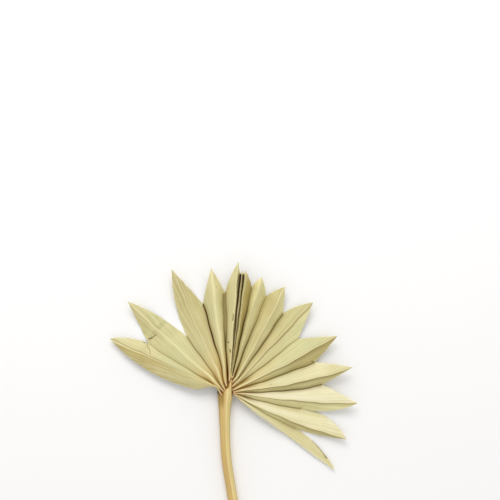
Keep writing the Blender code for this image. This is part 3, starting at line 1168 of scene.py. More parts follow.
@dataclass(frozen=True)
class DryStalkFinish:
    """The stalk's surface: tan on its left face and pale on its right, partly painted light and
    shade, with lengthwise fibres and painted shade along its left flank.

    Crowdings are how closely a pattern is packed round and along the stalk. Ridge at is how far
    the pale ridge lies from the middle, as a share of half the width. Smoothest is the least
    roughness, and relief the depth of the fibres in metres.
    """

    # The darker left face and paler right face are partly the stalk's own two tones and partly painted
    # light and shade
    tan: Colour = srgb(212, 180, 110)
    pale: Colour = srgb(228, 207, 138)
    # Painted shade on the left flank and under the blade's edge at the head
    olive: Colour = srgb(164, 132, 60)
    fibre: Colour = srgb(168, 128, 70)
    stain: Colour = srgb(140, 86, 20)
    # Painted shadow under the ribs at the left of the head
    dark: Colour = srgb(104, 80, 26)
    crest: Colour = srgb(242, 218, 156)
    pith: Colour = srgb(222, 205, 160)
    bundle: Colour = srgb(150, 112, 66)
    streak_crowding: Point = (26.0, 16.0)
    thread_crowding: Point = (110.0, 22.0)
    ridge_at: float = 0.28
    smoothest: float = 0.38
    gloss: float = 0.45
    relief: float = 0.00015

    def make(self) -> bpy.types.Material:
        """Draw the finish.

        Returns:
            The material.
        """
        sketch = Sketch("dry_stalk_finish")
        across = sketch.attribute("across")
        around = sketch.attribute("around")
        down = sketch.attribute("down")
        place = sketch.position()
        run = self.unrolled(sketch, around, down, self.streak_crowding, 3.0)
        thin = self.unrolled(sketch, around, down, self.thread_crowding, 7.0)
        streaks = sketch.noise(run, 1.0, 3.0, 0.6)
        threads = sketch.noise(thin, 1.0, 2.0, 0.6)
        patches = sketch.noise(place, 35.0, 2.0)

        # Tan to the left and pale to the right: partly its own two tones, partly painted light and shade
        lean = sketch.plus(across, sketch.times(sketch.minus(streaks, 0.5), 0.5))
        layers = (
            (lean, -0.12, 0.30, 1.0, self.pale),
            (patches, 0.5, 0.75, 0.4, self.pale),
            (threads, 0.50, 0.72, 0.65, self.fibre),
            (threads, 0.48, 0.27, 0.6, self.pale),
            (sketch.apart(across, self.ridge_at), 0.17, 0.04, 0.7, self.crest),
        )
        colour = sketch.layers(self.tan, layers)
        colour = self.flank_shade_and_head_stains(sketch, colour, across, down, place)
        colour = sketch.blend(sketch.ramp(across, 0.80, 1.0, 0.0, 0.4), colour, self.fibre)
        bundles = sketch.cells(place, 1150.0)
        face = sketch.blend(sketch.ramp(bundles, 0.34, 0.18), self.pith, self.bundle)
        colour = sketch.blend(sketch.attribute("cut_end"), colour, face)

        sketch.feed(sketch.shader.inputs["Base Color"], colour)
        sketch.feed(sketch.shader.inputs["Roughness"], sketch.rising(threads, self.smoothest, 0.2))
        sketch.shader.inputs["Specular IOR Level"].default_value = self.gloss
        sketch.bump(threads, 0.5, self.relief)
        return sketch.material

    def unrolled(
        self, sketch: Sketch, around: Socket, down: Socket, crowding: Point, layer: float
    ) -> Socket:
        """Lay the stalk's surface out flat, on a layer of its own for each lengthwise pattern."""
        return sketch.vector(sketch.times(around, crowding[0]), sketch.times(down, crowding[1]), layer)

    def flank_shade_and_head_stains(
        self, sketch: Sketch, colour: Socket, across: Socket, down: Socket, place: Socket
    ) -> Socket:
        """Paint shade on the left flank and under the blade's edge, and stain the head brown where
        the ribs grow from it, darkening to painted shadow at its left.

        Args:
            sketch: The material's sketch.
            colour: The colour so far.
            across: From -1 at the left side to 1 at the right.
            down: Distance below the hub.
            place: The place on the leaf.

        Returns:
            The colour.
        """
        # Painted shade along the left flank, strongest near the head
        left = sketch.ramp(across, -0.55, -0.95, 0.0, 0.8)
        high = sketch.ramp(down, 0.06, 0.0, 0.25, 1.0)
        colour = sketch.blend(sketch.times(left, high), colour, self.olive)
        # Painted shadow on the head's left shoulder, under the blade's edge
        shoulder = sketch.ramp(across, -0.02, -0.26, 0.0, 0.9)
        head = sketch.ramp(down, 0.016, 0.007)
        colour = sketch.blend(sketch.times(shoulder, head), colour, self.olive)
        # Brown stain under the ribs, darkening at the left into painted shadow
        under_ribs = sketch.times(sketch.ramp(across, -0.1, -0.4), sketch.ramp(down, 0.0045, 0.002))
        root = sketch.blend(sketch.ramp(across, -0.5, -0.72), self.stain, self.dark)
        colour = sketch.blend(under_ribs, colour, root)
        sideways = sketch.between("DOT_PRODUCT", place, (1.0, 0.0, 0.0))
        right = sketch.ramp(sideways, HUB[0] + 0.0013, HUB[0] + 0.0024, 0.0, 0.8)
        stained = sketch.times(right, sketch.ramp(down, 0.0055, 0.0025))
        stained = sketch.times(stained, sketch.ramp(down, -0.0085, -0.0050, 0.35, 1.0))
        return sketch.blend(stained, colour, self.stain)


@dataclass(frozen=True)
class RibHeadFinish:
    """The bare ends of the ribs: pale straw, pinkish at their roots and brown where they crowd."""

    straw: Colour = srgb(232, 212, 146)
    pink: Colour = srgb(218, 180, 124)
    brown: Colour = srgb(146, 88, 22)
    relief: float = 0.0001

    def make(self) -> bpy.types.Material:
        """Draw the finish.

        Returns:
            The material.
        """
        sketch = Sketch("rib_head_finish")
        down = sketch.attribute("hub_gap")
        side = sketch.attribute("flank")
        run = sketch.attribute("around")
        thin = sketch.vector(sketch.times(run, 14.0), sketch.times(down, 60.0), 1.0)
        threads = sketch.noise(thin, 1.0, 2.0)
        colour = sketch.blend(sketch.ramp(down, 0.0085, 0.0035), self.straw, self.pink)
        colour = sketch.blend(sketch.ramp(threads, 0.5, 0.8, 0.0, 0.4), colour, self.brown)
        crowd = sketch.times(sketch.ramp(down, 0.012, 0.004), side)
        colour = sketch.blend(crowd, colour, self.brown)
        root = sketch.times(sketch.ramp(down, 0.0054, 0.0039), sketch.attribute("root"))
        colour = sketch.blend(root, colour, self.brown)
        sketch.feed(sketch.shader.inputs["Base Color"], colour)
        sketch.feed(sketch.shader.inputs["Roughness"], sketch.ramp(threads, 0.2, 0.8, 0.42, 0.6))
        sketch.bump(threads, 0.4, self.relief)
        return sketch.material


@dataclass(frozen=True)
class FloorFinish:
    """A pale, matt and faintly cloudy floor."""

    dull: Colour = srgb(251, 250, 249)
    bright: Colour = srgb(253, 252, 251)
    roughness: float = 0.9

    def make(self) -> bpy.types.Material:
        """Draw the finish.

        Returns:
            The material.
        """
        sketch = Sketch("floor_finish")
        cloud = sketch.noise(sketch.position(), 3.0)
        shade = sketch.blend(sketch.ramp(cloud, 0.3, 0.7), self.dull, self.bright)
        sketch.feed(sketch.shader.inputs["Base Color"], shade)
        sketch.shader.inputs["Roughness"].default_value = self.roughness
        return sketch.material


@dataclass
class PleatedFan:
    """The fan itself: one thin veined sheet from margin to margin, cut to points.

    Rows run out along a blade and columns across half of it, and the crowdings pack them closer
    at the hub and at the rib. Steepest is the slope in degrees past which the sheet gets no
    thicker upright. Outer pleat is how many degrees the veins of the last half blade spread over.
    Buckled is how many of the last blades bend in a buckle, and buckle at is how far from the hub
    it lies. The second blade and those up to yellow before take a yellower cream on the right, and
    from yellow left on the left too: painted warm light that the folds throw back onto the sides
    turned from the light. Lit share is how much of a rib's painted shade line shows on its lit
    side. Far is noted where a point has no valley or cut edge near it. Edges that bend by more
    degrees than crease stay sharp.
    """

    plan: FanPlan
    sheet: float = 0.00036
    body_rows: int = 36
    tip_rows: int = 24
    columns: int = 34
    row_crowding: float = 1.15
    column_crowding: float = 1.25
    rib_height: float = 0.00034
    rib_width: float = 0.00055
    rib_taper: float = 0.75
    vein_height: float = 0.00004
    vein_pitch: float = 0.0026
    steepest: float = 76.0
    curl: float = 0.0010
    swell: float = 0.00022
    buckled: int = 2
    buckle: float = 0.0009
    buckle_at: float = 0.0775
    buckle_width: float = 0.0022
    outer_pleat: float = 20.0
    yellow_left: int = 7
    yellow_before: int = 9
    lit_share: float = 0.25
    far: float = 0.02
    clearance: float = 0.00002
    crease: float = 24.0
    name: str = "pleated_fan"

    def __post_init__(self) -> None:
        """Number the points of the ribs and the valleys, which neighbours share."""
        self.count = 0
        self.rib_ids = [self.take(self.body_rows + self.tip_rows + 1) for _ in BLADES]
        self.cleft_ids = [self.take(self.body_rows + 1) for _ in CLEFTS]
        self.halves = [(index, side) for index in range(len(BLADES)) for side in Side]
        self.faces: list[tuple[int, ...]] = []
        self.marks: list[tuple[float, ...]] = []

    def build(self) -> bpy.types.Object:
        """Make the fan's mesh and its numbers for the finish.

        Returns:
            The fan's object.
        """
        self.grids = [self.number_grid(index, side) for index, side in self.halves]
        values = self.gather()
        for (index, side), grid in zip(self.halves, self.grids):
            self.keep(index, side, self.grid_faces(side, grid, False))
        return self.close(values)

    def dress(self, piece: bpy.types.Object) -> bpy.types.Object:
        """Give the fan its finish."""
        piece.data.materials.append(DryBladeFinish().make())
        return piece

    def take(self, amount: int) -> np.ndarray:
        """Set aside some new point numbers.

        Args:
            amount: How many are needed.

        Returns:
            The numbers.
        """
        numbers = np.arange(self.count, self.count + amount)
        self.count += amount
        return numbers

    def number_grid(self, index: int, side: Side) -> np.ndarray:
        """Number the points of half a blade, sharing its rib, its valley and its tip.

        Args:
            index: The blade.
            side: Its side.

        Returns:
            The numbers, one row for each row of points.
        """
        rows = self.body_rows + self.tip_rows
        grid = np.empty((rows + 1, self.columns + 1), dtype=int)
        grid[:, 0] = self.rib_ids[index]
        grid[: self.body_rows + 1, -1] = self.cleft_ids[index + side]
        grid[self.body_rows + 1 :, -1] = self.take(self.tip_rows)
        inner = self.columns - 1
        grid[:, 1:-1] = self.take((rows + 1) * inner).reshape(rows + 1, inner)
        grid[-1, :] = self.rib_ids[index][-1]
        return grid

    def shape_grid(self, index: int, side: Side) -> dict[str, np.ndarray]:
        """Work out places, heights and finish numbers for half a blade.

        Args:
            index: The blade.
            side: Its side.

        Returns:
            Arrays of one value for each point of the grid.
        """
        plan = self.plan
        cleft = CLEFTS[index + side]
        reach = BLADES[index].reach
        shoulder = plan.shoulder(index)
        crest = plan.crest(index)
        body = np.linspace(0.0, 1.0, self.body_rows + 1) ** self.row_crowding
        tip = np.linspace(0.0, 1.0, self.tip_rows + 1)[1:]
        body_at = HUB_RADIUS + (shoulder - HUB_RADIUS) * body
        rib_at = np.concatenate([body_at, shoulder + (reach - shoulder) * tip])
        edge_at = HUB_RADIUS + (cleft.reach - HUB_RADIUS) * body
        rib = plan.rib_shade_line(index, rib_at)
        valley = plan.cleft_line(index + side, edge_at)
        edge = np.concatenate([valley, plan.margin(index, side, tip)])
        rib_z = np.concatenate([plan.body_height(crest, body), plan.tip_height(index, tip)])
        width = np.linalg.norm(rib - edge, axis=1)
        full = (crest - cleft.floor) / width[self.body_rows]
        slope = full * (1.0 - plan.tip_flattens * tip)
        past = slice(self.body_rows + 1, None)
        tip_z = rib_z[past] - slope * width[past]
        edge_z = np.concatenate([plan.body_height(cleft.floor, body), tip_z])

        u = (np.linspace(0.0, 1.0, self.columns + 1) ** self.column_crowding)[None, :]
        x = rib[:, :1] + (edge[:, :1] - rib[:, :1]) * u
        y = rib[:, 1:] + (edge[:, 1:] - rib[:, 1:]) * u
        z = rib_z[:, None] + (edge_z - rib_z)[:, None] * u
        steps = np.concatenate([body, 1.0 + tip])[:, None]
        z = self.bend(index, side, u, steps, z)
        z = z + self.buckles(index, x, y) * np.clip(4.0 * u * (1.2 - u), 0.0, 1.0)

        in_tip = steps > 1.0
        last = cleft is CLEFTS[-1]
        turn = self.turn_from_rib(x, y)
        fanned = np.clip(turn / (self.outer_pleat if last else turn[self.body_rows, -1]), 0.0, 1.0)
        vein = fanned if last else np.where(in_tip, fanned, u)
        gap = width[:, None]
        notch = edge[self.body_rows]
        from_notch = np.hypot(x - notch[0], y - notch[1])
        out = rib_at[:, None]
        return {
            "x": x,
            "y": y,
            "z": z,
            "vein": vein,
            "rib_gap": u * gap,
            "fold_gap": np.where(in_tip, self.far, (1.0 - u) * gap),
            "cut_gap": np.where(in_tip, np.minimum((1.0 - u) * gap, self.far), from_notch),
            "hub_gap": np.broadcast_to(out, x.shape),
            "fold_shade": np.broadcast_to(self.fold_shade(cleft, edge_at, len(tip)), x.shape),
            "shade_band": np.broadcast_to(self.shade_band(cleft, edge_at, len(tip)), x.shape),
            "relief": self.relief(index, side, vein, u * gap, out / reach, width[self.body_rows]),
        }

    def bend(
        self, index: int, side: Side, u: np.ndarray, steps: np.ndarray, z: np.ndarray
    ) -> np.ndarray:
        """Arch half a blade, and curl the outer edge of its tip.

        Args:
            index: The blade.
            side: Its side.
            u: How far across it each column is, from 0 at the rib to 1.
            steps: How far out each row is, from 0 to 1 at the notch and 2 at the tip.
            z: Its heights so far.

        Returns:
            Its heights.
        """
        draw = np.random.default_rng(100 + 2 * index + side)
        bow = BLADES[index].bows[side] * MM
        curl = self.curl * draw.uniform(-1.0, 1.0)
        arch = smoothstep(steps / 0.6) * (1.0 - 0.6 * smoothstep(steps - 1.0))
        z = z + bow * 4.0 * u * (1.0 - u) * arch
        return z + curl * u * u * np.sin(math.pi * np.clip(steps - 1.0, 0.0, 1.0))

    def turn_from_rib(self, x: np.ndarray, y: np.ndarray) -> np.ndarray:
        """Find how far round the hub each point of half a blade lies from its rib.

        Args:
            x: Places along X, with the rib's in the first column.
            y: Places along Y.

        Returns:
            The angles in degrees.
        """
        bearing = (np.degrees(np.arctan2(y - HUB[1], x - HUB[0])) + 90.0) % 360.0
        return np.abs(bearing - bearing[:, :1])

    def fold_shade(self, cleft: Cleft, edge_at: np.ndarray, more: int) -> np.ndarray:
        """Find the darkness of the valley's painted shade line on each row, from its three values."""
        shares = np.concatenate([edge_at / cleft.reach, np.ones(more)])
        return np.interp(shares, (0.2, 0.6, 1.0), cleft.fold_shades)[:, None]

    def shade_band(self, cleft: Cleft, edge_at: np.ndarray, more: int) -> np.ndarray:
        """Find the width of each row's strip of painted shade. It closes towards the hub."""
        widths = cleft.shade_band * smoothstep((edge_at - 0.030) / 0.025)
        return np.concatenate([widths, np.full(more, widths[-1])])[:, None]

    def buckles(self, index: int, x: np.ndarray, y: np.ndarray) -> np.ndarray:
        """Bend the lowest blades on the left where they buckled as they dried.

        Args:
            index: The blade.
            x: Places along X in metres.
            y: Places along Y in metres.

        Returns:
            How far up the sheet is bent there.
        """
        if index < len(BLADES) - self.buckled:
            return np.zeros_like(x)
        out = np.hypot(x - HUB[0], y - HUB[1])
        fold = (out - self.buckle_at) / self.buckle_width
        return self.buckle * (np.exp(-(fold**2)) - 0.6 * np.exp(-((fold + 1.6) ** 2)))

    def relief(
        self, index: int, side: Side, vein: np.ndarray, rib_gap: np.ndarray, out: np.ndarray, wide: float
    ) -> np.ndarray:
        """Raise the rib and the veins beside it.

        Args:
            index: The blade.
            side: Its side.
            vein: How far across the uncut pleat each point is, from 0 at the rib to 1.
            rib_gap: Distance from the rib in metres.
            out: How far out along the blade, from 0 to 1.
            wide: The half-pleat's width at its notch, in metres.

        Returns:
            The height above the plain sheet.
        """
        veins = max(3, round(wide * 1.3 / self.vein_pitch))
        phase = 1.7 * index + 0.9 * side
        strength = 0.6 + 0.4 * np.sin(2.3 * veins * vein + phase)
        wave = np.cos(math.pi * veins * vein) ** 4 * strength
        fade = np.sin(math.pi * np.clip(vein, 0.0, 1.0)) ** 0.5 * smoothstep(out / 0.25)
        taper = 1.0 - self.rib_taper * out
        bump = np.exp(-((rib_gap / (self.rib_width * taper)) ** 2))
        return self.vein_height * wave * fade + self.rib_height * taper * bump

    def gather(self) -> dict[str, np.ndarray]:
        """Shape all the half blades, and lay their numbers in one list each.

        Returns:
            The numbers of each point of the upper side, by name.
        """
        shapes = [self.shape_grid(index, side) for index, side in self.halves]
        values = {name: np.zeros(self.count) for name in shapes[0]}
        for grid, shape in zip(self.grids, shapes):
            for name, array in shape.items():
                values[name][grid] = array
        swell = Ripple(seed=5, height=self.swell, shortest=0.010, longest=0.030)
        values["z"] += swell.at(values["x"], values["y"]) * smoothstep(values["hub_gap"] / 0.03)
        return values

    def grid_faces(self, side: Side, grid: np.ndarray, under: bool) -> Iterable[tuple[int, ...]]:
        """List the faces of half a blade, a triangle where two columns meet.

        Args:
            side: The blade's side.
            grid: The point numbers.
            under: Whether the faces look down.

        Yields:
            The point numbers of each face.
        """
        for near, far in zip(grid, grid[1:]):
            for c in range(len(near) - 1):
                if far[c] == far[c + 1]:
                    face = (near[c], far[c], near[c + 1])
                else:
                    face = (near[c], far[c], far[c + 1], near[c + 1])
                if under:
                    face = (face[0], *face[:0:-1])
                yield face if side is Side.LEFT else face[::-1]

    def keep(self, index: int, side: Side, faces: Iterable[tuple[int, ...]]) -> None:
        """Add some faces of half a blade, with the numbers that each keeps for the finish.

        Args:
            index: The blade.
            side: Its side.
            faces: The faces.
        """
        blade = BLADES[index]
        shaded = (blade.rib_shade_line < 0.0) == (side is Side.LEFT)
        mark = (
            blade.tones[side].value,
            1.0 + 1.37 * (2 * index + side),
            abs(blade.rib_shade_line) * (1.0 if shaded else self.lit_share),
            blade.pale,
            blade.warm,
            blade.grey,
            # Whether this side takes the painted bounce light
            float(self.gets_bounce_light(index, side)),
            blade.fades[side],
        )
        new = list(faces)
        self.faces.extend(new)
        self.marks.extend([mark] * len(new))

    def gets_bounce_light(self, index: int, side: Side) -> bool:
        """Tell whether half a blade gets the yellower cream of painted bounce light."""
        return 0 < index < self.yellow_before and (side is Side.RIGHT or index >= self.yellow_left)

    def upright(self, points: np.ndarray) -> np.ndarray:
        """Find the upright thickness that gives the sheet its own thickness where it is steep.

        Args:
            points: The points halfway through the sheet.

        Returns:
            The thickness at each point.
        """
        corners = np.array([(face[0], face[1], face[-1]) for face in self.faces])
        first = points[corners[:, 1]] - points[corners[:, 0]]
        second = points[corners[:, 2]] - points[corners[:, 0]]
        normal = np.cross(first, second)
        length = np.linalg.norm(normal, axis=1)
        steep = length / np.maximum(np.abs(normal[:, 2]), 1e-12)
        steep = np.minimum(steep, 1.0 / math.cos(math.radians(self.steepest)))
        thick = np.full(len(points), self.sheet)
        for face_numbers in np.array([(f[0], f[1], f[-2], f[-1]) for f in self.faces]).T:
            np.maximum.at(thick, face_numbers, self.sheet * steep)
        return thick

    def close(self, values: dict[str, np.ndarray]) -> bpy.types.Object:
        """Give the sheet its thickness, with an underside of half as many columns.

        Args:
            values: The numbers of each point of the upper side.

        Returns:
            The closed fan.
        """
        middle = np.stack([values["x"], values["y"], values["z"]], axis=1)
        thick = self.upright(middle)
        middle[:, 2] = np.maximum(middle[:, 2], 0.5 * thick + self.clearance)
        upper = middle.copy()
        upper[:, 2] += 0.5 * thick + values["relief"]
        lower = middle.copy()
        lower[:, 2] -= 0.5 * thick
        used = np.zeros(self.count, dtype=bool)
        for grid in self.grids:
            used[grid[:, ::2]] = True
        below = np.full(self.count, -1)
        below[used] = self.count + np.arange(used.sum())
        for (index, side), grid in zip(self.halves, self.grids):
            self.keep(index, side, self.grid_faces(side, below[grid[:, ::2]], True))
            self.keep(index, side, self.walls(index, side, grid, below))
        piece = Mesh.make(self.name, np.concatenate([upper, lower[used]]), self.faces, self.crease)
        for name in ("vein", "rib_gap", "fold_gap", "cut_gap", "hub_gap", "fold_shade", "shade_band"):
            Mesh.note(piece, name, Domain.POINT, np.concatenate([values[name], values[name][used]]))
        names = ("tone", "seed", "rib_shade_line", "pale", "warm", "grey", "bounce_light", "fade")
        for name, column in zip(names, np.array(self.marks).T):
            Mesh.note(piece, name, Domain.FACE, column)
        return piece

    def walls(
        self, index: int, side: Side, grid: np.ndarray, below: np.ndarray
    ) -> Iterable[tuple[int, ...]]:
        """List the narrow faces that join the two sides of the sheet round its edge.

        Args:
            index: The blade.
            side: Its side.
            grid: Its point numbers.
            below: For each upper point, the number of the point under it.

        Yields:
            The point numbers of each face.
        """
        outer = index + side in (0, len(CLEFTS) - 1)
        rim = grid[:, -1] if outer else grid[self.body_rows :, -1]
        for near, far in zip(rim, rim[1:]):
            start, end = (far, near) if side is Side.LEFT else (near, far)
            yield (start, below[start], below[end], end)
        root = grid[0]
        for c in range(0, self.columns, 2):
            first, middle, last = root[c], root[c + 1], root[c + 2]
            if side is Side.LEFT:
                first, last = last, first
            yield (first, below[first], below[last], last, middle)


@dataclass
class Stalk:
    """The stalk: rounded, crested to the right of its middle, fibrous, and cut off square.

    Fibres are how many fine ridges run along it, and coarse fibres how many broad ones, all
    drifting sideways by a share of their spacing over the drift length. Cut rings are the shares
    of the outline that the cut end is drawn with.
    """

    sides: int = 56
    rows_between: int = 13
    fibre_height: float = 0.00007
    fibres: int = 34
    coarse_fibres: int = 13
    drift: float = 0.35
    drift_length: float = 0.021
    cut_rings: tuple[float, ...] = (0.92, 0.75, 0.55, 0.35, 0.15)
    cut_roughness: Point = (-0.00018, 0.00022)
    crease: float = 40.0
    name: str = "stalk_skin"

    # Place from the hub, left side, right side, underside and top, in metres
    STATIONS: ClassVar[tuple[tuple[float, ...], ...]] = (
        (0.0112, 0.0006, 0.0026, 0.0070, 0.0086),
        (0.0092, 0.0000, 0.0028, 0.0066, 0.0091),
        (0.0074, -0.0008, 0.0027, 0.0062, 0.0098),
        (0.0060, -0.0014, 0.0026, 0.0058, 0.0103),
        (0.0044, -0.0020, 0.0027, 0.0054, 0.0106),
        (0.0028, -0.0036, 0.0030, 0.0046, 0.0106),
        (0.0016, -0.0072, 0.0033, 0.0040, 0.0105),
        (0.0002, -0.0090, 0.0035, 0.0034, 0.0104),
        (-0.0030, -0.0092, 0.0033, 0.0028, 0.0103),
        (-0.0075, -0.0088, 0.0024, 0.0026, 0.0101),
        (-0.0310, -0.0074, 0.0007, 0.0022, 0.0093),
        (-0.0550, -0.0060, 0.0020, 0.0016, 0.0086),
        (-0.0790, -0.0024, 0.0056, 0.0010, 0.0079),
        (-0.1150, 0.0036, 0.0116, 0.0003, 0.0071),
        (-0.1500, 0.0095, 0.0175, 0.0000, 0.0068),
        (-0.1950, 0.0168, 0.0250, 0.0000, 0.0068),
        (-0.2400, 0.0242, 0.0330, 0.0000, 0.0072),
    )
    # The outline of every cross-section: across from -1 to 1, and up from 0 to 1
    SECTION: ClassVar[tuple[Point, ...]] = (
        (0.36, 0.00),
        (0.78, 0.13),
        (0.98, 0.40),
        (0.95, 0.62),
        (0.70, 0.86),
        (0.30, 1.00),
        (0.08, 0.99),
        (-0.32, 0.92),
        (-0.74, 0.76),
        (-0.98, 0.50),
        (-0.97, 0.33),
        (-0.75, 0.10),
        (-0.36, 0.00),
    )

    def stations(self) -> np.ndarray:
        """Run a smooth curve through the stations.

        Returns:
            One row of five values for each cross-section.
        """
        listed = np.array(self.STATIONS)
        place = listed[:, 0]
        slopes = np.gradient(listed, place, axis=0)
        rows = []
        for step in range(len(listed) - 1):
            span = place[step + 1] - place[step]
            ends = (listed[step], slopes[step] * span, listed[step + 1], slopes[step + 1] * span)
            rows.extend(curve(*ends, share) for share in np.arange(self.rows_between) / self.rows_between)
        rows.append(listed[-1])
        return np.array(rows)

    def outline(self) -> np.ndarray:
        """Run a smooth closed curve round the section.

        Returns:
            Across from -1 to 1 and up from 0 to 1, for each side of the mesh.
        """
        corners = np.array(self.SECTION)
        count = len(corners)
        slope = 0.5 * (np.roll(corners, -1, axis=0) - np.roll(corners, 1, axis=0))
        where = np.arange(self.sides) / self.sides * count
        step = where.astype(int)
        share = (where - step)[:, None]
        after = (step + 1) % count
        ring = curve(corners[step], slope[step], corners[after], slope[after], share)
        ring[:, 1] = np.clip(ring[:, 1], 0.0, None)
        return ring

    def skin(self, rows: np.ndarray, ring: np.ndarray) -> np.ndarray:
        """Sweep the outline along the stations, with its fibres.

        Args:
            rows: The stations.
            ring: The outline.

        Returns:
            The points, one row of three coordinates each.
        """
        centre = 0.5 * (rows[:, 1] + rows[:, 2])
        half = 0.5 * (rows[:, 2] - rows[:, 1])
        turn = np.arange(self.sides) / self.sides
        down = -rows[:, 0]
        drift = np.sin(down / self.drift_length)[:, None] * self.drift
        fibre = np.cos(2.0 * math.pi * (self.fibres * turn[None, :] + drift))
        coarse = self.coarse_fibres * turn[None, :] - 0.5 * drift
        fibre = fibre + 0.6 * np.cos(2.0 * math.pi * coarse + 1.0)
        top = np.clip(ring[:, 1], 0.0, 1.0)
        swell = 1.0 + self.fibre_height * fibre * smoothstep(top / 0.2)[None, :] / half[:, None]
        x = HUB[0] + centre[:, None] + half[:, None] * ring[None, :, 0] * swell
        y = np.broadcast_to((HUB[1] + rows[:, 0])[:, None], x.shape)
        z = rows[:, 3:4] + (rows[:, 4:5] - rows[:, 3:4]) * ring[None, :, 1] * swell
        return np.stack([x, y, np.maximum(z, 0.0)], axis=-1).reshape(-1, 3)

    def build(self) -> bpy.types.Object:
        """Make the stalk's mesh and its numbers for the finish.

        Returns:
            The stalk's object.
        """
        rows = self.stations()
        ring = self.outline()
        points = self.skin(rows, ring)
        count = self.sides
        faces: list[tuple[int, ...]] = []
        for row in range(len(rows) - 1):
            for side in range(count):
                here, beside = row * count + side, row * count + (side + 1) % count
                faces.append((beside, beside + count, here + count, here))
        faces.append(tuple(range(count)))
        cap_points, cap_faces = self.cut_end(points[-count:], len(points))
        faces.extend(cap_faces)
        piece = Mesh.make(self.name, np.concatenate([points, cap_points]), faces, self.crease)
        extra = len(cap_points)
        turn = np.arange(count) / count
        down = -rows[:, 0]
        for name, values, last in (
            ("across", np.tile(ring[:, 0], len(rows)), 0.0),
            ("around", np.tile(turn, len(rows)), 0.0),
            ("down", np.repeat(down, count), down[-1]),
        ):
            Mesh.note(piece, name, Domain.POINT, np.append(values, np.full(extra, last)))
        marks = np.zeros(len(faces))
        marks[-len(cap_faces) :] = 1.0
        Mesh.note(piece, "cut_end", Domain.FACE, marks)
        return piece

    def dress(self, piece: bpy.types.Object) -> bpy.types.Object:
        """Give the stalk its finish."""
        piece.data.materials.append(DryStalkFinish().make())
        return piece

    def cut_end(self, rim: np.ndarray, first: int) -> tuple[np.ndarray, list[tuple[int, ...]]]:
        """Close the lower end with a slightly rough cut.

        Args:
            rim: The last ring of the stalk.
            first: The number that the first new point gets.

        Returns:
            The new points, and the faces between them and the rim.
        """
        count = len(rim)
        middle = rim.mean(axis=0)
        draw = np.random.default_rng(11)
        rings = []
        for share in self.cut_rings:
            ring = middle + (rim - middle) * share
            ring[:, 1] += draw.uniform(*self.cut_roughness, count)
            rings.append(ring)
        points = np.concatenate([*rings, middle[None, :]])
        faces: list[tuple[int, ...]] = []
        starts = [first - count] + [first + number * count for number in range(len(rings))]
        for outer, inner in zip(starts, starts[1:]):
            for side in range(count):
                beside = (side + 1) % count
                faces.append((outer + side, outer + beside, inner + beside, inner + side))
        tip = first + len(rings) * count
        for side in range(count):
            faces.append((starts[-1] + side, starts[-1] + (side + 1) % count, tip))
        return points, faces


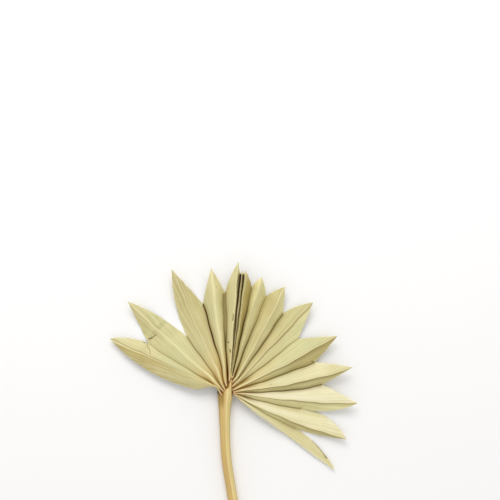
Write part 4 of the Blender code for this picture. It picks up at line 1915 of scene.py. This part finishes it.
@dataclass
class RibHeads:
    """The bare ends of the ribs, crowding onto both sides of the stalk's pointed head.

    Crowded are the first and the last blade of those at the top of the head, whose ends have the
    brownest roots. The ends before them are slim, and those after them are lifted well off the
    sheet. Thinning is how much of its thickness an end loses on its way out, and rounding how
    thick its first two rings are.
    """

    plan: FanPlan
    sides: int = 10
    rows: int = 22
    run: float = 0.020
    thick: float = 0.00062
    slim: float = 0.7
    thinning: float = 0.72
    rounding: Point = (0.35, 0.8)
    flatness: float = 0.8
    crowded: tuple[int, int] = (4, 9)
    brown_root: float = 0.7
    pale_root: float = 0.15
    lift: float = 0.0018
    low_lift: float = 0.0006
    least_lift: float = 0.0001
    crease: float = 50.0
    name: str = "rib_heads"

    def build(self) -> bpy.types.Object:
        """Make the rib ends as one mesh.

        Returns:
            Their object.
        """
        points: list[np.ndarray] = []
        faces: list[tuple[int, ...]] = []
        notes: dict[str, list[np.ndarray]] = {"hub_gap": [], "flank": [], "around": [], "root": []}
        for index in range(len(BLADES)):
            line, radii, out = self.rib_path(index)
            tube, sheath = self.tube(line, radii, index * self.rows * self.sides)
            points.append(tube)
            faces.extend(sheath)
            self.keep(notes, out)
            crowded = self.crowded[0] <= index <= self.crowded[1]
            notes["root"].append(np.full(len(tube), self.brown_root if crowded else self.pale_root))
        piece = Mesh.make(self.name, np.concatenate(points), faces, self.crease)
        for name, values in notes.items():
            Mesh.note(piece, name, Domain.POINT, np.concatenate(values))
        return piece

    def dress(self, piece: bpy.types.Object) -> bpy.types.Object:
        """Give the rib ends their finish."""
        piece.data.materials.append(RibHeadFinish().make())
        return piece

    def keep(self, notes: dict[str, list[np.ndarray]], out: np.ndarray) -> None:
        """Note for each point how far it is from the hub and on which flank of its rib.

        Args:
            notes: The lists that grow.
            out: The distance from the hub of each ring.
        """
        turn = np.arange(self.sides) / self.sides
        flank = np.clip(1.0 - 1.6 * np.abs(np.sin(2.0 * math.pi * turn)), 0.0, 1.0)
        notes["hub_gap"].append(np.repeat(out, self.sides))
        notes["flank"].append(np.tile(flank, len(out)))
        notes["around"].append(np.tile(turn, len(out)))

    def rib_path(self, index: int) -> tuple[np.ndarray, np.ndarray, np.ndarray]:
        """Find the line and thickness of one rib's bare end.

        Args:
            index: The blade.

        Returns:
            The points of its line, its radius at each, and the distance from the hub.
        """
        share = np.linspace(0.0, 1.0, self.rows)
        out = HUB_RADIUS + (self.run - HUB_RADIUS) * share**1.2
        line = self.plan.rib_shade_line(index, out)
        along = (out - HUB_RADIUS) / (self.plan.shoulder(index) - HUB_RADIUS)
        height = self.plan.body_height(self.plan.crest(index), along)
        most = self.lift if index > self.crowded[1] else self.low_lift
        lift = most * (1.0 - share) ** 1.5 + self.least_lift
        radii = self.thick * (1.0 - self.thinning * share)
        radii *= self.slim if index < self.crowded[0] else 1.0
        radii[:2] *= self.rounding
        return np.column_stack([line, height + lift]), radii, out

    def tube(
        self, line: np.ndarray, radii: np.ndarray, first: int
    ) -> tuple[np.ndarray, list[tuple[int, ...]]]:
        """Sweep a flattened round section along a line.

        Args:
            line: The points of the line.
            radii: Half the width at each point.
            first: The number that the first point gets.

        Returns:
            The tube's points and its faces.
        """
        along = np.gradient(line, axis=0)
        along /= np.linalg.norm(along, axis=1)[:, None]
        beside = np.cross(along, np.array([0.0, 0.0, 1.0]))
        beside /= np.linalg.norm(beside, axis=1)[:, None]
        above = np.cross(beside, along)
        turn = 2.0 * math.pi * np.arange(self.sides) / self.sides
        ring = (
            np.cos(turn)[None, :, None] * beside[:, None, :]
            + self.flatness * np.sin(turn)[None, :, None] * above[:, None, :]
        )
        points = line[:, None, :] + radii[:, None, None] * ring
        faces: list[tuple[int, ...]] = []
        for row in range(len(line) - 1):
            for side in range(self.sides):
                here = first + row * self.sides + side
                beside_it = first + row * self.sides + (side + 1) % self.sides
                faces.append((here, beside_it, beside_it + self.sides, here + self.sides))
        last = first + (len(line) - 1) * self.sides
        faces.append(tuple(first + side for side in range(self.sides))[::-1])
        faces.append(tuple(last + side for side in range(self.sides)))
        return points.reshape(-1, 3), faces


@dataclass
class Studio:
    """A pale floor, a large soft light from beyond the leaf's tip, and a camera looking down.

    The lens is in millimetres, distance runs from the camera down to the plane height, and the
    frame's centre is measured from the hub. The key light stands so many degrees round and up
    from the place that it aims at.
    """

    lens: float = 85.0
    sensor_width: float = 36.0
    distance: float = 0.944
    frame_centre: Point = (0.0168, 0.1128)
    plane_height: float = 0.008
    key_bearing: float = 96.0
    key_rise: float = 44.0
    key_power: float = 11.0
    key_size: Point = (1.1, 0.7)
    key_away: float = 1.5
    key_aim: tuple[float, float, float] = (0.01, 0.11, 0.0)
    sky: float = 0.72
    floor_half: float = 3.0
    floor_height: float = -0.0001

    def floor(self) -> bpy.types.Object:
        """Lay the floor.

        Returns:
            The floor's object.
        """
        signs = ((-1.0, -1.0), (1.0, -1.0), (1.0, 1.0), (-1.0, 1.0))
        corners = [(x * self.floor_half, y * self.floor_half, self.floor_height) for x, y in signs]
        piece = Mesh.make("floor", np.array(corners), [(0, 1, 2, 3)], 30.0)
        piece.data.materials.append(FloorFinish().make())
        return piece

    def lights(self) -> None:
        """Hang the soft key light and let in an even sky."""
        bearing = math.radians(self.key_bearing)
        rise = math.radians(self.key_rise)
        level = math.cos(rise)
        direction = Vector((math.cos(bearing) * level, math.sin(bearing) * level, math.sin(rise)))
        data = bpy.data.lights.new("key_light", "AREA")
        data.shape = "RECTANGLE"
        data.size, data.size_y = self.key_size
        data.energy = self.key_power
        lamp = bpy.data.objects.new("key_light", data)
        lamp.location = Vector(self.key_aim) + direction * self.key_away
        lamp.rotation_euler = direction.to_track_quat("Z", "Y").to_euler()
        bpy.context.scene.collection.objects.link(lamp)
        world = bpy.data.worlds.new("studio")
        world.use_nodes = True
        background = world.node_tree.nodes["Background"]
        background.inputs["Color"].default_value = (1.0, 1.0, 1.0, 1.0)
        background.inputs["Strength"].default_value = self.sky
        bpy.context.scene.world = world

    def camera(self) -> None:
        """Put the camera straight above the leaf, upright on its stalk."""
        data = bpy.data.cameras.new("camera")
        data.lens = self.lens
        data.sensor_width = self.sensor_width
        camera = bpy.data.objects.new("camera", data)
        x, y = HUB + np.array(self.frame_centre)
        camera.location = (x, y, self.plane_height + self.distance)
        bpy.context.scene.collection.objects.link(camera)
        bpy.context.scene.camera = camera

    def set_up(self) -> None:
        """Make the whole studio."""
        self.floor()
        self.lights()
        self.camera()
        view = bpy.context.scene.view_settings
        view.view_transform = "Standard"
        view.look = "None"


@dataclass
class FanPalmLeaf:
    """The whole leaf: builds its pieces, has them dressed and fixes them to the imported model."""

    plan: FanPlan
    body: str = "root"

    def add(self, piece: bpy.types.Object, slot: str, stands_for: Optional[str] = None) -> None:
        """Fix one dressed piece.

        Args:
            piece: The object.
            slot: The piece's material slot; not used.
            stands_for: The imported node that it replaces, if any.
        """
        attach(piece, self.body)
        if stands_for:
            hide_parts(stands_for)
        LOG.info("%s: %d faces", piece.name, len(piece.data.polygons))

    def build(self) -> None:
        """Make every piece of the leaf."""
        fan, stalk, heads = PleatedFan(self.plan), Stalk(), RibHeads(self.plan)
        self.add(fan.dress(fan.build()), "dry_blade", "leaf_blade")
        self.add(stalk.dress(stalk.build()), "dry_stalk", "leaf_stalk")
        self.add(heads.dress(heads.build()), "dry_stalk")


def main() -> None:
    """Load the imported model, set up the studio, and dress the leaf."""
    logging.basicConfig(level=logging.INFO, format="%(name)s: %(message)s")
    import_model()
    Studio().set_up()
    FanPalmLeaf(FanPlan()).build()


if __name__ == "__main__":
    main()
